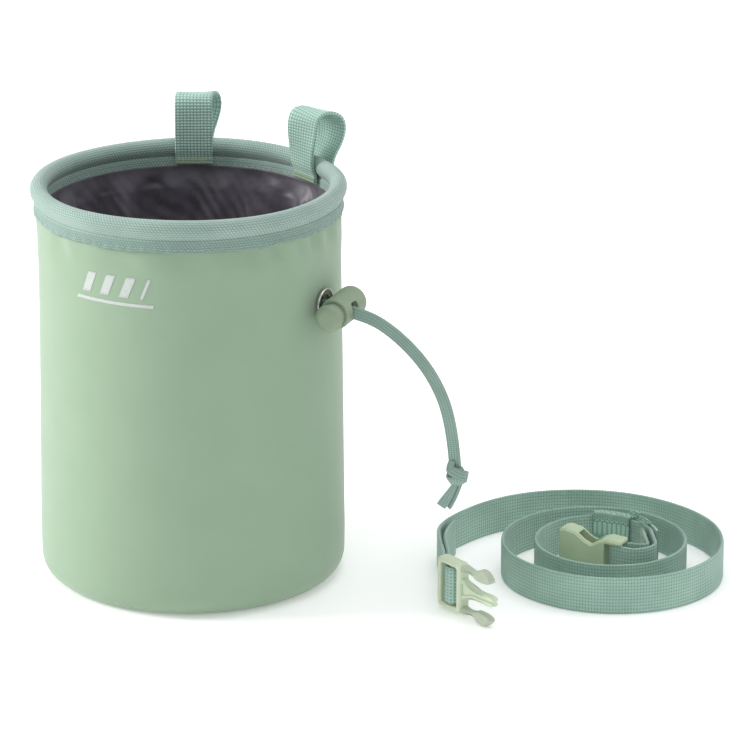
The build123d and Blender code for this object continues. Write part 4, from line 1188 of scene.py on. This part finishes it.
def smoothOutline(points, count=96):
    """A closed line through the middles of a polygon's sides, rounded at each corner by a quadratic curve."""
    points = np.asarray(points, float)
    ahead = np.roll(points, -1, 0)
    start, end = (np.roll(points, 1, 0) + points) / 2, (points + ahead) / 2
    t = np.linspace(0, 1, 12, endpoint=False)[:, None, None]
    curve = (1 - t) ** 2 * start + 2 * t * (1 - t) * points + t ** 2 * end
    line = curve.transpose(1, 0, 2).reshape(-1, 2)
    closed = np.concatenate([line, line[:1]])
    at = np.concatenate([[0], np.cumsum(np.linalg.norm(np.diff(closed, axis=0), axis=1))])
    where = np.linspace(0, at[-1], count, endpoint=False)
    return np.stack([np.interp(where, at, closed[:, k]) for k in range(2)], 1)


def plateMesh(name, outline, thick, edge, place, hole=None, dish=0.0):
    """A moulded plate: the outline at its full size in the middle of the thickness and drawn in round each
    edge by a quarter circle. A hole of the same number of points makes a ring instead of a capped plate."""
    def inwards(line, amount):
        tangent = unit(np.roll(line, -1, 0) - np.roll(line, 1, 0))
        area = np.sum(line[:, 0] * np.roll(line[:, 1], -1) - np.roll(line[:, 0], -1) * line[:, 1])
        return line + np.stack([-tangent[:, 1], tangent[:, 0]], 1) * amount * np.sign(area)

    sweep = np.linspace(0, math.pi / 2, 5)
    rings, outs = [], []
    for angle in sweep[::-1]:
        rings.append(inwards(outline, edge * (1 - math.cos(angle))))
        outs.append(-(thick / 2 - edge) - edge * math.sin(angle))
    for angle in sweep:
        rings.append(inwards(outline, edge * (1 - math.cos(angle))))
        outs.append((thick / 2 - edge) + edge * math.sin(angle))
    if hole is not None:
        small = edge * 0.6
        for angle in sweep[::-1]:
            rings.append(inwards(hole, -small * (1 - math.cos(angle))))
            outs.append((thick / 2 - small) + small * math.sin(angle))
        for angle in sweep:
            rings.append(inwards(hole, -small * (1 - math.cos(angle))))
            outs.append(-(thick / 2 - small) - small * math.sin(angle))
    rings, outs = np.array(rings), np.array(outs)[:, None]
    points = place(rings[..., 0], rings[..., 1], np.broadcast_to(outs, rings.shape[:2]))
    if hole is not None:
        return outwards(gridMesh(name, points, None, closeU=True, closeV=True))
    mesh = gridMesh(name, points, None, closeV=True)
    capMesh(mesh, points)
    return outwards(mesh)


def rectOutline(x0, x1, y0, y1, corner, count=96):
    """A rectangle with rounded corners, its points evenly spread and starting at the same corner."""
    middle = np.array([[x0 + corner, y0 + corner], [x1 - corner, y0 + corner], [x1 - corner, y1 - corner],
                       [x0 + corner, y1 - corner]])
    line = []
    for k, centre in enumerate(middle):
        angle = np.radians(np.linspace(180, 270, count // 8)) + k * math.pi / 2
        arc = centre + corner * np.stack([np.cos(angle), np.sin(angle)], 1)
        line.append(arc)
        corners = middle[(k + 1) % 4] + corner * np.array([np.cos(angle[-1]), np.sin(angle[-1])])
        t = np.linspace(0, 1, count // 4 - count // 8 + 2)[1:-1, None]
        line.append(arc[-1] * (1 - t) + corners * t)
    return np.concatenate(line)


def buildMaleFrame():
    """Rounded frame round the window, its round bar, and a guide of two ridges that join at the tip."""
    half = buckle["webHalf"]
    parts = [plateMesh("frame", rectOutline(-7.4, 6.6, -10.2, 10.2, 1.8), 5.2, 1.1, buckleWorld,
                       rectOutline(-5.2, 4.4, -half - 0.25, half + 0.25, 0.7))]
    angle, along = np.meshgrid(np.linspace(0, 2 * math.pi, 20, endpoint=False), np.linspace(-half - 0.6, half + 0.6, 8))
    bar = buckleWorld(1.55 * np.cos(angle), along, 1.55 * np.sin(angle))
    parts.append(outwards(gridMesh("bar", bar, None, closeV=True)))
    guide = smoothOutline([(5.4, -4.6), (5.4, 4.6), (8.6, 3.6), (12.0, 1.9), (18.0, 1.6), (21.5, 2.2), (25.0, 1.9),
                           (25.6, 0), (25.0, -1.9), (21.5, -2.2), (18.0, -1.6), (12.0, -1.9), (8.6, -3.6)])
    parts.append(plateMesh("guide", guide, 1.7, 0.6, buckleWorld))
    for sign in (1, -1):
        ridge = smoothOutline([(5.4, sign * 4.6), (5.4, sign * 2.6), (8.8, sign * 2.0), (12.4, sign * 0.45),
                               (20.5, sign * 0.40), (22.6, sign * 0.1), (25.3, sign * 0.1), (25.3, sign * 1.9),
                               (21.5, sign * 2.3), (18.0, sign * 1.7), (12.0, sign * 2.0), (8.6, sign * 3.8)])
        parts.append(plateMesh("ridge", ridge, 3.2, 0.55, buckleWorld))
    mesh = joined(parts, "maleFrame")
    # the frame takes the lighter copy of the buckle plastic: painted light
    addPiece("maleFrame", mesh, "male_buckle", framePlasticPaintedLight, ("male_buckle_frame",))


def buildProng(name, node, body, sign):
    """A slim arm that widens to a leaf-shaped head, mirrored for the lower one."""
    half = buckle["webHalf"]
    shape = [(6.3, 2.3), (9.6, 1.8), (13.0, 1.0), (15.6, 2.7), (18.2, 3.7), (21.0, 3.0), (23.4, 0.9), (23.6, -0.6),
             (21.0, -1.5), (18.0, -1.7), (15.0, -1.6), (13.4, -0.6), (9.6, -0.1), (6.3, -1.0)]
    outline = smoothOutline([(x, sign * (half + y)) for x, y in shape])
    mesh = plateMesh(name, outline, 3.6, 0.85, buckleWorld)
    # the prongs take the darker copy of the buckle plastic: painted shade
    addPiece(name, mesh, body, prongPlasticPaintedShade, (node,))


buildMaleFrame()
buildProng("maleProngUpper", "male_prong_upper", "upper_prong", 1)
buildProng("maleProngLower", "male_prong_lower", "lower_prong", -1)
print("male buckle")

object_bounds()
